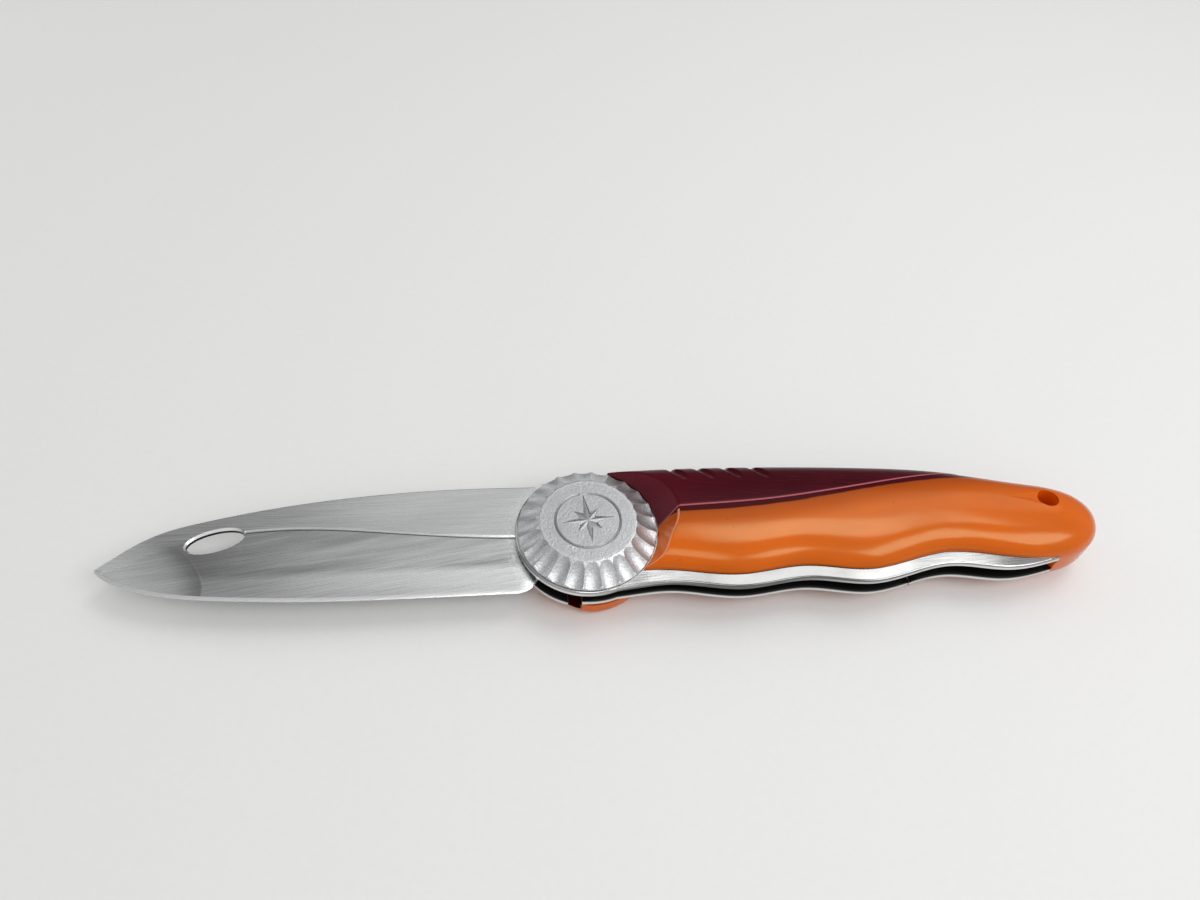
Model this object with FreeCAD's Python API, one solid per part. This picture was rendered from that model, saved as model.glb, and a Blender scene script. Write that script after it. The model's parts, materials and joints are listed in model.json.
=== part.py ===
import FreeCAD, Part
import math
import os

from FreeCAD import Vector

# Folding pocket knife with a thumb wheel and a liner lock, drawn open.
# +X runs from the pivot to the butt, +Y to the spine and +Z up through the wheel.
# The pivot axis is x = y = 0. While modelling, z = 0 is the blade's middle plane;
# every piece is then lifted so that the rear half rests on z = 0.

# Blade
blade_reach = 90.8
blade_rise = 12.0
blade_drop = 11.7
blade_thick = 2.4
bevel_height = 1.3
bevel_most = 0.35
bevel_thick = 0.6
tip_thin = 0.5
station_count = 10
station_power = 1.5
hole_length = 10.4
hole_width = 4.3
hole_tilt = 14.7
hole_chamfer = 0.45
hole_from_tip = 20.6
hole_y = 2.0
heel_round = 4.2

# Tang, stop pin and fold
fold_angle = 176.0
pin_r = 1.5
pin_reach = 10.2
pin_angle = 84.0
stop_gap = 0.05
tang_gap = 0.4
lobe_extra = 1.2
lobe_end_angle = 226.0

# Wheel
wheel_r = 13.4
wheel_face_r = 9.25
wheel_thick = 3.35
wheel_wall = 0.7
flute_count = 24
flute_r = 2.2
flute_depth = 0.62
flute_middle = 0.45
flute_half = 3.2

# Pivot
hub_r = 4.5
drive_side = 6.0
drive_gap = 0.02
running_gap = 0.05
bush_wall = 0.95
flange_width = 2.5
flange_thick = 0.2
washer_thick = 0.15
washer_r = 7.0
shoulder_r = 2.5
thread_r = 1.5
thread_length = 5.0
head_r = 4.6
head_thick = 1.1
head_gap = 0.4

# Handle
tip_gap = 1.0
edge_gap = 0.9
butt_length = 10.38
spine_wall = 2.0
spine_cover = 1.8
liner_thick = 1.4
liner_show = 2.5
rim_show = 0.5
rivet_r = 0.8

# Handle halves
scale_thick = 4.25
side_wall = 1.5
crown_power = 2.6
land_share = 0.3
recess_gap = 0.25
recess_wall = 0.65
recess_slope = 42.0
grip_proud = 0.25
boss_round = 2.4
groove_count = 4
groove_first = 16.8
groove_pitch = 5.5
groove_r = 1.3
screw_r = 0.9
screw_head_r = 1.6
screw_head_thick = 0.7
screw_bite = 1.9

# Lanyard hole
lanyard_r = 2.0
lanyard_inset = 10.18
lanyard_y = 0.9
lanyard_seat_r = 2.4
lanyard_seat_z = 5.7

# Liner lock
leaf_root = 62.0
leaf_top = 5.0
leaf_cut = 0.7
leaf_gap = 0.05
leaf_shelf_angle = -70.0
leaf_rise_angle = -38.0
lock_window = 2.3
lock_notch = 1.6
lock_lift = 1.25
detent_r = 0.75
detent_proud = 0.3
detent_gap = 0.15
detent_reach = 11.2
detent_angle = -72.0

# Levels and lengths that follow from the sizes above
slot_half = blade_thick / 2 + washer_thick
liner_out = slot_half + liner_thick
scale_top = liner_out + scale_thick
handle_rise = blade_drop + spine_wall
handle_drop = blade_rise + spine_cover
handle_reach = blade_reach + tip_gap + butt_length
disc_r = wheel_r + rim_show
recess_r = wheel_r + recess_gap
wheel_bottom = liner_out + flange_thick
wheel_top = wheel_bottom + wheel_thick
tang_r = pin_reach - pin_r - tang_gap
lobe_r = pin_reach + lobe_extra
bush_r = hub_r + running_gap + bush_wall
screw_bush_r = shoulder_r + running_gap + bush_wall
far = 3 * handle_reach
up_z = Vector(0, 0, 1)

# Blade lines from the heel to the tip: shares of the reach, and of the rise above or drop below the pivot
blade_spine = [(0.106, 0.986), (0.15, 0.992), (0.271, 1.0), (0.443, 0.946), (0.61, 0.812), (0.727, 0.662),
               (0.817, 0.5), (0.884, 0.325), (0.938, 0.096), (0.976, -0.142), (0.998, -0.262)]
blade_edge = [(0.106, -0.99), (0.15, -0.991), (0.443, -1.0), (0.61, -0.97), (0.727, -0.91), (0.817, -0.838),
              (0.884, -0.735), (0.938, -0.598), (0.976, -0.444), (0.998, -0.305)]
blade_grind = [(0.106, 0.0), (0.15, 0.008), (0.296, 0.092), (0.424, 0.208), (0.615, 0.333), (0.72, 0.3),
               (0.859, 0.09), (0.947, -0.19), (0.998, -0.276)]

# Handle lines: shares of the handle's reach, and of its rise above or drop below the pivot
spine_line = [(0.0488, 0.974), (0.2329, 1.0), (0.3945, 0.971), (0.5572, 0.905), (0.7169, 0.766),
              (0.8745, 0.485)]
butt_line = [(0.9451, 0.333), (0.9853, 0.121), (0.9995, -0.109), (0.993, -0.361), (0.9637, -0.594),
             (0.9118, -0.733)]
finger_line = [(0.788, -0.873), (0.6853, -0.775), (0.5206, -1.0), (0.4057, -0.902), (0.2766, -0.996),
               (0.1464, -0.88)]
front_line = [(0.0885, -0.909), (0.0, -0.993), (0.0, 0.99)]
tail_arc = [(0.908, -0.84), (0.8592, -0.145), (0.8419, 0.9)]
crest_line = [(0.6813, 0.095), (1.0, -0.0665)]
ridge_start = [(0.061, -0.30), (0.1332, 0.0)]
ridge_line = [(0.1678, 0.175), (0.2461, 0.219), (0.3447, 0.255), (0.4444, 0.328), (0.5359, 0.409),
              (0.6813, 0.54), (0.8643, 0.67)]
screw_places = [(0.2542, 0.62), (0.4474, -0.07), (0.7423, 0.0)]
rivet_places = [0.305, 0.5287, 0.7525]

# Axis of a thumb groove from its spine point: distance along, distance in and level
groove_path = [(-1.7, -0.9, 0.0), (0.0, -0.9, 2.75), (0.9, 0.55, 5.3), (3.4, 4.7, 7.9)]

# Shares of a crown's outline at its contours, from the side wall up to the flat land
crown_shares = [0.97, 0.9, 0.78, 0.62, 0.46, land_share]


def placed(shares):
    """Points of the handle's outline from their shares."""
    points = []
    for along, across in shares:
        height = handle_rise if across > 0 else handle_drop
        points.append(Vector(handle_reach * along, height * across, 0))
    return points


def turned(point, degrees):
    """A point turned about the pivot axis."""
    c, s = math.cos(math.radians(degrees)), math.sin(math.radians(degrees))
    return Vector(point.x * c - point.y * s, point.x * s + point.y * c, point.z)


def polar(radius, degrees):
    return turned(Vector(radius, 0, 0), degrees)


def curve(points):
    """Smooth edge through a few points."""
    spline = Part.BSplineCurve()
    spline.interpolate(points)
    return spline.toShape()


def chain(points):
    """Straight edges from point to point."""
    return [Part.makeLine(a, b) for a, b in zip(points, points[1:])]


def slab(edges, low, high):
    """The flat region inside the edges, between two levels."""
    face = Part.Face(Part.Wire(edges))
    return face.translated(Vector(0, 0, low)).extrude(Vector(0, 0, high - low))


def cylinder(radius, low, high, centre=Vector(0, 0, 0)):
    return Part.makeCylinder(radius, high - low, Vector(centre.x, centre.y, low))


def ring(inner, outer, low, high):
    return cylinder(outer, low, high).cut(cylinder(inner, low, high))


def flipped(shape):
    """The mirror image on the other side of the blade's middle plane."""
    return shape.mirror(Vector(0, 0, 0), up_z)


def height_at(edge, x):
    """The y of an outline edge at one x."""
    upright = Part.makeLine(Vector(x, -far, 0), Vector(x, far, 0))
    return edge.distToShape(upright)[1][0][0].y


# Blade and tang

def blade_line(shares):
    """Points of a blade line from their shares."""
    points = []
    for along, across in shares:
        height = blade_rise if across > 0 else blade_drop
        points.append(Vector(-blade_reach * along, height * across, 0))
    return points


def station_points():
    """Spine, grind start and edge heights at stations that close up towards the tip."""
    lines = [blade_line(shares) for shares in (blade_spine, blade_grind, blade_edge)]
    heel, tip = lines[0][0].x, lines[0][-1].x
    rows = [tuple([heel] + [line[0].y for line in lines])]
    for index in range(1, station_count):
        x = tip + (heel - tip) * (1 - index / station_count) ** station_power
        rows.append(tuple([x] + [height_at(curve(line), x) for line in lines]))
    return rows + [tuple([tip] + [line[-1].y for line in lines])]


def blade_section(x, spine, grind, edge, half):
    """Seven-sided section: flat upper band, ground flanks and the cutting bevel."""
    drop = min(bevel_height, bevel_most * (grind - edge))
    shoulder = bevel_thick / blade_thick * half
    right = [(spine, half), (grind, half), (edge + drop, shoulder), (edge, 0)]
    left = [(y, -z) for y, z in reversed(right[:-1])]
    points = [Vector(x, y, z) for y, z in right + left]
    return Part.makePolygon(points + points[:1])


def stop_lines():
    """The two tang faces that meet the stop pin, each from the tang disc outwards."""
    away = polar(1, pin_angle)
    side = polar(1, pin_angle + 90)
    offset = pin_r + stop_gap
    inner = math.sqrt(tang_r ** 2 - offset ** 2)
    outer = math.sqrt(lobe_r ** 2 - offset ** 2)
    opened = [side * offset + away * reach for reach in (inner, outer)]
    closed = [turned(away * reach - side * offset, -fold_angle) for reach in (inner, outer)]
    return opened, closed


def tang():
    """Flat plate round the pivot, with the stop face and the lock face."""
    x, spine, _, edge = station_points()[0]
    opened, closed = stop_lines()
    lobe_end = polar(lobe_r, lobe_end_angle)
    lobe_angle = math.degrees(math.atan2(closed[1].y, closed[1].x)) % 360
    lobe_middle = polar(lobe_r, (lobe_end_angle + lobe_angle) / 2)
    edges = [
        curve([Vector(x, spine, 0), Vector(x / 2, spine, 0), opened[1]]),
        Part.makeLine(opened[1], opened[0]),
        Part.Arc(opened[0], Vector(tang_r, 0, 0), closed[0]).toShape(),
        Part.makeLine(closed[0], closed[1]),
        Part.Arc(closed[1], lobe_middle, lobe_end).toShape(),
    ]
    edges += chain([lobe_end, Vector(x, edge + heel_round, 0), Vector(x, spine, 0)])
    return slab(edges, -blade_thick / 2, blade_thick / 2)


def heel_corner():
    """What rounding the heel takes off the loft's lower corner."""
    x, _, _, edge = station_points()[0]
    middle = Vector(x - heel_round, edge + heel_round, 0)
    low = middle - Vector(0, 2 * heel_round, blade_thick)
    corner = Part.makeBox(heel_round, 2 * heel_round, 2 * blade_thick, low)
    return corner.cut(cylinder(heel_round, -blade_thick, blade_thick, middle))


def oval(grow, level):
    """Outline of the oval hole, grown all round, at one level."""
    edge = Part.Ellipse(Vector(0, 0, level), hole_length / 2 + grow, hole_width / 2 + grow).toShape()
    edge.rotate(Vector(0, 0, 0), up_z, hole_tilt)
    edge.translate(Vector(hole_from_tip - blade_reach, hole_y, 0))
    return Part.Wire([edge])


def oval_hole():
    """The through hole with a chamfer that runs out to the blade's thickness there."""
    heel, tip = station_points()[0][0], station_points()[-1][0]
    half = blade_thick / 2 * thinning(hole_from_tip - blade_reach, heel, tip)
    low = half - hole_chamfer
    through = Part.makeLoft([oval(0, -blade_thick), oval(0, blade_thick)], True)
    mouth = Part.makeLoft([oval(0, low), oval(2 * hole_chamfer, low + 2 * hole_chamfer)], True)
    return through.fuse([mouth, flipped(mouth)])


def thinning(x, heel, tip):
    """The blade's thickness at one x as a share of that at the heel."""
    return tip_thin + (1 - tip_thin) * (x - tip) / (heel - tip)


def blade():
    sections = []
    rows = station_points()
    heel, tip = rows[0][0], rows[-1][0]
    for x, spine, grind, edge in rows:
        sections.append(blade_section(x, spine, grind, edge, blade_thick / 2 * thinning(x, heel, tip)))
    shape = Part.makeLoft(sections, True, False).cut(heel_corner()).fuse(tang()).removeSplitter()

    drive = drive_side + 2 * drive_gap
    square = Part.makeBox(drive, drive, 2 * blade_thick, Vector(-drive / 2, -drive / 2, -blade_thick))

    dimple = Part.makeSphere(detent_r + detent_gap, turned(detent_centre(), -fold_angle))
    return shape.cut(oval_hole()).cut(square).cut(dimple)


# Wheel, bushes, washers and pivot screw

def flute():
    """One scoop of the wheel's rim, a spindle that lies along the slope and runs out at both ends."""
    low = Vector(wheel_r, 0, wheel_bottom + wheel_wall)
    top = Vector(wheel_face_r, 0, wheel_top)
    along = (top - low).normalize()
    out = Vector(along.z, 0, -along.x)
    clear = flute_r - flute_depth
    middle = low + (top - low) * flute_middle + out * clear
    start, end = middle - along * flute_half, middle + along * flute_half
    belly = Part.Arc(start - out * clear, middle - out * flute_r, end - out * clear).toShape()
    sides = chain([end - out * clear, end, start, start - out * clear])
    return Part.Face(Part.Wire([belly] + sides)).revolve(middle, along, 360)


def thumb_wheel():
    rim = [
        Vector(0, 0, wheel_bottom),
        Vector(wheel_r, 0, wheel_bottom),
        Vector(wheel_r, 0, wheel_bottom + wheel_wall),
        Vector(wheel_face_r, 0, wheel_top),
        Vector(0, 0, wheel_top),
    ]
    body = Part.Face(Part.makePolygon(rim + rim[:1])).revolve(Vector(0, 0, 0), up_z, 360)
    for index in range(flute_count):
        scoop = flute()
        scoop.rotate(Vector(0, 0, 0), up_z, 360 * index / flute_count)
        body = body.cut(scoop)
    drive_end = -blade_thick / 2 + running_gap
    hub = cylinder(hub_r, blade_thick / 2, wheel_bottom)
    corner = Vector(-drive_side / 2, -drive_side / 2, drive_end)
    drive = Part.makeBox(drive_side, drive_side, blade_thick / 2 - drive_end, corner)
    thread = cylinder(thread_r, drive_end, drive_end + thread_length)
    return body.fuse(hub).fuse(drive).removeSplitter().cut(thread)


def hub_bush():
    barrel = cylinder(bush_r, slot_half, liner_out)
    flange = cylinder(bush_r + flange_width, liner_out, wheel_bottom)
    return barrel.fuse(flange).removeSplitter().cut(cylinder(hub_r + running_gap, slot_half, wheel_bottom))


def screw_bush():
    seat = -liner_out - flange_thick
    barrel = cylinder(screw_bush_r, -liner_out, -slot_half)
    flange = cylinder(head_r + head_gap, seat, -liner_out)
    return barrel.fuse(flange).removeSplitter().cut(cylinder(shoulder_r + running_gap, seat, -slot_half))


def pivot_screw():
    under = -liner_out - flange_thick - running_gap
    shoulder_end = -blade_thick / 2 + running_gap
    head = cylinder(head_r, under - head_thick, under)
    shoulder = cylinder(shoulder_r, under, shoulder_end)
    shank = cylinder(thread_r, shoulder_end, shoulder_end + thread_length)
    return head.fuse(shoulder).fuse(shank).removeSplitter()


def front_washer():
    return ring(hub_r + 2 * running_gap, washer_r, blade_thick / 2, slot_half)


def rear_washer():
    return ring(shoulder_r + 2 * running_gap, washer_r, -slot_half, -blade_thick / 2)


def stop_pin():
    return cylinder(pin_r, -liner_out, liner_out, polar(pin_reach, pin_angle))


# Liners and what holds them together

def liner_zone(low, high):
    """Everything on the pivot's side of the liners' tail."""
    bottom, middle, top = placed(tail_arc)
    upper = [top, Vector(top.x, far, 0), Vector(-far, far, 0)]
    lower = [Vector(-far, -far, 0), Vector(bottom.x, -far, 0), bottom]
    return slab([Part.Arc(bottom, middle, top).toShape()] + chain(upper + lower), low, high)


def plate(low, high):
    """The liners' outline: wavy finger edge, spine, tail and the round end under the wheel."""
    toe, end, start = placed(front_line)
    outline = [start] + placed(spine_line + butt_line + finger_line) + [toe, end]
    body = slab([curve(outline), Part.makeLine(end, start)], low, high)
    return body.common(liner_zone(low, high)).fuse(cylinder(disc_r, low, high)).removeSplitter()


def closed_edge():
    """Where the cutting edge lies when folded, moved up by the gap kept above it."""
    lift = Vector(0, edge_gap, 0)
    points = [turned(Vector(x, edge, 0), fold_angle) + lift for x, _, _, edge in station_points()]
    end = points[-1] + (points[-1] - points[-2]).normalize() * butt_length
    return points + [end]


def above_edge(low, high):
    """The room between the folded edge and the spine."""
    points = closed_edge()
    corners = [points[-1], Vector(points[-1].x, far, 0), Vector(points[0].x, far, 0), points[0]]
    return slab([curve(points)] + chain(corners), low, high)


def rivet_centres():
    """Rivets run down the middle of the spacer."""
    outer, inner = curve(placed(spine_line + butt_line[:3])), curve(closed_edge())
    centres = []
    for share in rivet_places:
        x = share * handle_reach
        centres.append(Vector(x, (height_at(outer, x) + height_at(inner, x)) / 2, 0))
    return centres


def spacer_rivets():
    return Part.makeCompound([cylinder(rivet_r, -liner_out, liner_out, c) for c in rivet_centres()])


def back_spacer():
    bar = plate(-slot_half, slot_half).common(above_edge(-slot_half, slot_half))
    return bar.cut(spacer_rivets())


def scale_screws():
    """Countersunk screws, heads flush inside the slot, that bite into the front half."""
    screws = []
    for centre in placed(screw_places):
        seat = Vector(centre.x, centre.y, slot_half)
        head = Part.makeCone(screw_head_r, screw_r, screw_head_thick, seat)
        shank = cylinder(screw_r, slot_half + screw_head_thick, liner_out + screw_bite, centre)
        screws.append(head.fuse(shank).removeSplitter())
    return Part.makeCompound(screws)


def front_liner():
    body = plate(slot_half, liner_out).cut(cylinder(bush_r, slot_half, liner_out))
    return body.cut(stop_pin()).cut(spacer_rivets()).cut(scale_screws())


def rear_liner():
    body = plate(-liner_out, -slot_half).cut(cylinder(screw_bush_r, -liner_out, -slot_half))
    body = body.cut(stop_pin()).cut(spacer_rivets()).cut(flipped(scale_screws()))
    return body.cut(leaf_window())


# Liner lock

def leaf_corners():
    """Upper edge of the leaf, from its locking end to its root."""
    lock = stop_lines()[1]
    away = (lock[1] - lock[0]).normalize()
    end = lock[0] + Vector(stop_gap, 0, 0)
    shelf = polar(tang_r + tang_gap + stop_gap, leaf_shelf_angle)
    rise = polar(tang_r + tang_gap + 2 * leaf_cut, leaf_rise_angle)
    rise.y = min(rise.y, -leaf_top)
    root = Vector(leaf_root - leaf_gap, -leaf_top, 0)
    return away, [end + away * (2 * tang_gap), shelf, rise, root]


def leaf_region(low, high):
    away, top = leaf_corners()
    bottom = [Vector(top[-1].x, -far, 0), top[0] + away * far]
    return slab(chain(top + bottom + top[:1]), low, high)


def leaf_window():
    """The cut that frees the leaf: a slot above it, a gap at its end and a round root."""
    away, top = leaf_corners()
    lift = Vector(0, leaf_cut, 0)
    front = top[0] - Vector(lock_window, 0, 0)
    upper = [front + lift] + [p + lift for p in top[:-1]] + [top[-1] + lift + Vector(leaf_gap, 0, 0)]
    bottom = [Vector(upper[-1].x, -far, 0), upper[0] + away * far]
    cut = slab(chain(upper + bottom + upper[:1]), -liner_out, -slot_half)
    relief = Vector(leaf_root - leaf_cut, -leaf_top + leaf_cut / 2, 0)
    return cut.fuse(cylinder(leaf_cut, -liner_out, -slot_half, relief))


def detent_centre():
    """Ball in the leaf while the leaf lies flush in its liner."""
    return polar(detent_reach, detent_angle) + Vector(0, 0, detent_proud - slot_half - detent_r)


def lock_angle():
    tip = leaf_corners()[1][0]
    return math.degrees(math.asin(lock_lift / (leaf_root - tip.x)))


def sprung(shape):
    """The leaf swings in from its root until its end stands behind the tang."""
    shape.rotate(Vector(leaf_root, 0, -(slot_half + liner_out) / 2), Vector(0, 1, 0), lock_angle())
    return shape


def detent_ball():
    return sprung(Part.makeSphere(detent_r, detent_centre()))


def lock_leaf():
    body = plate(-liner_out, -slot_half).common(leaf_region(-liner_out, -slot_half))
    return sprung(body.cut(Part.makeSphere(detent_r, detent_centre())))


# Handle halves

def crest(x):
    """Height of the line that each crown shrinks towards: level, then falling to the butt."""
    (turn, level), (end, low) = crest_line
    fall = max(0, (x / handle_reach - turn) / (end - turn))
    return handle_rise * (level + (low - level) * fall)


def scale_outline():
    """Outline of a handle half on its liner: the steel shows below its finger edge."""
    points = placed(spine_line + butt_line)
    for point in placed(finger_line):
        points.append(point + Vector(0, liner_show, 0))
    points.append(Vector(points[0].x, points[-1].y - liner_show / 4, 0))
    return points


def contour(points, share, level):
    """The outline drawn in towards the crest line, at one level of the crown."""
    dome = handle_reach - butt_length
    drawn = []
    for point in points:
        anchor = Vector(min(point.x, dome), crest(min(point.x, dome)), 0)
        moved = anchor + (point - anchor) * share
        drawn.append(Vector(moved.x, moved.y, level))
    return Part.Wire([curve(drawn), Part.makeLine(drawn[-1], drawn[0])])


def crown(top):
    """A handle half as a stack of contours, from the middle plane to its flat land."""
    points = scale_outline()
    full = (top - side_wall) / (1 - land_share ** crown_power) ** (1 / crown_power)
    rings = [contour(points, 1, 0), contour(points, 1, side_wall)]
    for share in crown_shares:
        level = side_wall + full * (1 - share ** crown_power) ** (1 / crown_power)
        rings.append(contour(points, share, level))
    return Part.makeLoft(rings, True, False)


def grip_zone():
    """The wedge on the spine side of the ridge."""
    start = placed(ridge_start)
    ridge = placed(ridge_line)
    corners = [ridge[-1], Vector(ridge[-1].x, far, 0), Vector(-far, far, 0), Vector(-far, start[0].y, 0)]
    edges = [curve(ridge)] + chain(corners + start + ridge[:1])
    return slab(edges, -far, far)


def wheel_recess():
    """Round well beside the wheel, opening outwards as a cone."""
    lip = liner_out + recess_wall
    spread = scale_top / math.tan(math.radians(recess_slope))
    cone = Part.makeCone(recess_r, recess_r + spread, scale_top, Vector(0, 0, lip))
    return cylinder(recess_r, -far, lip).fuse(cone)


def thumb_grooves():
    """Slanting grooves over the spine edge of the grip, each round along a bent axis."""
    outer = curve(placed(spine_line + butt_line[:3]))
    grooves = []
    for index in range(groove_count):
        x = groove_first + index * groove_pitch
        y = height_at(outer, x)
        path = [Vector(x + along, y - inwards, level) for along, inwards, level in groove_path]
        for a, b in zip(path, path[1:]):
            grooves.append(Part.makeCylinder(groove_r, (b - a).Length, a, b - a))
            grooves.append(Part.makeSphere(groove_r, b))
    return grooves


def tip_pocket():
    """The end of the slot, where the folded tip lies."""
    x, _, _, edge = station_points()[-1]
    sweep = cylinder(math.hypot(x, edge) + tip_gap, -slot_half, slot_half)
    return sweep.cut(above_edge(-slot_half, slot_half))


def lanyard_cut():
    centre = Vector(handle_reach - lanyard_inset, lanyard_y, 0)
    hole = cylinder(lanyard_r, -scale_top, 2 * scale_top, centre)
    return hole.fuse(cylinder(lanyard_seat_r, lanyard_seat_z, 2 * scale_top, centre))


def half(body):
    """What both handle halves share: room for the liner, the tip and the lanyard."""
    body = body.cut(liner_zone(-far, liner_out))
    return body.cut(tip_pocket()).cut(lanyard_cut()).cut(scale_screws())


def grip():
    body = half(crown(scale_top + grip_proud)).common(grip_zone())
    for groove in thumb_grooves():
        body = body.cut(groove)
    return body


def front_scale():
    return half(crown(scale_top)).cut(grip_zone()).cut(wheel_recess())


def front_grip():
    return grip().cut(wheel_recess())


def rear_boss():
    boss = cylinder(wheel_r, liner_out, scale_top)
    rim = [edge for edge in boss.Edges if abs(edge.BoundBox.ZMin - scale_top) < 1e-6]
    boss = boss.makeFillet(boss_round, rim)
    room = liner_out + flange_thick + running_gap + head_thick + head_gap
    return boss.cut(cylinder(head_r + 2 * head_gap, liner_out, room))


def notch():
    """Thumb room in the rear boss, beyond the end of the lock leaf."""
    away, top = leaf_corners()
    front = top[0] - Vector(lock_window, 0, 0)
    corners = [front, top[0], top[0] + away * far, front + away * far, front]
    return slab(chain(corners), liner_out, liner_out + lock_notch)


def rear_scale():
    body = half(crown(scale_top)).cut(grip_zone()).cut(cylinder(wheel_r, -far, far))
    return flipped(body.fuse(rear_boss()).removeSplitter().cut(notch()))


def rear_grip():
    land = Part.makeBox(2 * far, 2 * far, far, Vector(-far, -far, scale_top))
    return flipped(grip().cut(cylinder(wheel_r, -far, far)).cut(land))


def front_scale_screws():
    return scale_screws()


def rear_scale_screws():
    return flipped(scale_screws())


pieces = [
    blade, thumb_wheel, pivot_screw,
    hub_bush, screw_bush, front_washer, rear_washer, stop_pin,
    front_liner, rear_liner, back_spacer, spacer_rivets,
    front_scale, rear_scale, front_grip, rear_grip, front_scale_screws, rear_scale_screws,
    lock_leaf, detent_ball,
]

os.makedirs("parts", exist_ok=True)
for piece in pieces:
    shape = piece().translated(Vector(0, 0, scale_top))
    shape.exportStep("parts/" + piece.__name__ + ".step")
    print(piece.__name__, len(shape.Solids), "solids", round(shape.Volume, 2), "mm3", shape.isValid())
leaf_level = scale_top - (slot_half + liner_out) / 2
print("lock angle", round(lock_angle(), 4), "degrees, leaf axis at z", round(leaf_level, 4), "mm")
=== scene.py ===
import json
import math

import bmesh
import bpy
import numpy as np
from bpy.props import FloatProperty, FloatVectorProperty, IntProperty, PointerProperty
from mathutils import Matrix, Vector
from mathutils.geometry import delaunay_2d_cdt


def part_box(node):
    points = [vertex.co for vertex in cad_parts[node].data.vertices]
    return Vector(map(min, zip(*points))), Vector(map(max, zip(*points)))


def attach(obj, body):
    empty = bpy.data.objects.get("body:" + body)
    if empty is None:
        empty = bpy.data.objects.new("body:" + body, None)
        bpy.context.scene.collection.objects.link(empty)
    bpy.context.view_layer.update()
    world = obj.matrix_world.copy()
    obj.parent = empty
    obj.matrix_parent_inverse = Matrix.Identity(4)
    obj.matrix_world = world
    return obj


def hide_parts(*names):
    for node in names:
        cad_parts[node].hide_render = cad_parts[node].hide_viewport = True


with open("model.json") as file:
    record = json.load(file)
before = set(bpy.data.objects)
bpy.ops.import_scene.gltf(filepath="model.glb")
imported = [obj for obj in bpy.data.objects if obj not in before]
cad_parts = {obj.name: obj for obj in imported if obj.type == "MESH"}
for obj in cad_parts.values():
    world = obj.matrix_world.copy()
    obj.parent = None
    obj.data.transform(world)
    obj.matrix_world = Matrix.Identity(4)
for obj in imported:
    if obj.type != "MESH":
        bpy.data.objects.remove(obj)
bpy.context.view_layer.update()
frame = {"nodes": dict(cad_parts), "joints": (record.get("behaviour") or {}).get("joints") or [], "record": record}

bl_info = {
    "name": "Folding pocket knife",
    "version": (1, 0, 0),
    "blender": (4, 5, 0),
    "location": "3D View > Sidebar > Knife",
    "description": "Dresses the packed folding knife: blade, fluted wheel, liners, handle halves and stage",
    "category": "Object",
}

# Sizes in the code are millimetres about the pivot axis and the blade's middle plane.
MM = 0.001
joints = {joint["name"]: joint for joint in frame["joints"]}
mounts = {mount["name"]: mount for mount in frame["record"]["mounts"]}
MIDDLE = joints["blade_fold"]["pos_m"][2]


def reach_of(node, axis, high):
    """How far a CAD node reaches from the pivot and the middle plane along one axis, in millimetres."""
    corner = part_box(node)[1 if high else 0]
    return (corner[axis] - (MIDDLE if axis == 2 else 0)) / MM


# The blade's lines end at this share of its reach.
TIP_SHARE = 0.998
BLADE_REACH = -reach_of("blade", 0, False) / TIP_SHARE
BLADE_HALF = reach_of("front_washer", 2, False)
LINER_IN = reach_of("front_liner", 2, False)
LINER_OUT = reach_of("front_liner", 2, True)
DISC_R = -reach_of("front_liner", 0, False)
WHEEL_R = reach_of("thumb_wheel", 0, True)
WHEEL_TOP = reach_of("thumb_wheel", 2, True)
WHEEL_BOTTOM = reach_of("hub_bush", 2, True)
DRIVE_END = reach_of("thumb_wheel", 2, False)
HANDLE_REACH = reach_of("front_scale", 0, True)
CROWN_TOP = -reach_of("rear_scale", 2, False)
LEAF_ROOT = joints["lock_flex"]["pos_m"][0] / MM
FOLD_ANGLE = 176.0
LOCK_ANGLE = FOLD_ANGLE * frame["record"]["behaviour"]["couplings"][0]["ratio"]

# Heights of the outlines above and below the pivot
BLADE_RISE = 12.0
BLADE_DROP = 11.7
HANDLE_RISE = 13.7
HANDLE_DROP = 13.8

# Blade lines from the heel to the tip: shares of the reach, and of the rise or drop
BLADE_SPINE = [(0.106, 0.986), (0.15, 0.992), (0.271, 1.0), (0.443, 0.946), (0.61, 0.812), (0.727, 0.662),
               (0.817, 0.51), (0.884, 0.355), (0.938, 0.125), (0.976, -0.112), (0.99, -0.21),
               (TIP_SHARE, -0.28)]
BLADE_EDGE = [(0.106, -0.99), (0.15, -0.991), (0.443, -1.0), (0.61, -0.97), (0.727, -0.91), (0.817, -0.838),
              (0.884, -0.735), (0.938, -0.598), (0.976, -0.444), (TIP_SHARE, -0.305)]
BLADE_GRIND = [(0.106, 0.0), (0.15, 0.008), (0.296, 0.092), (0.424, 0.208), (0.615, 0.333), (0.72, 0.3),
               (0.859, 0.09), (0.947, -0.19), (TIP_SHARE, -0.276)]

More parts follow.
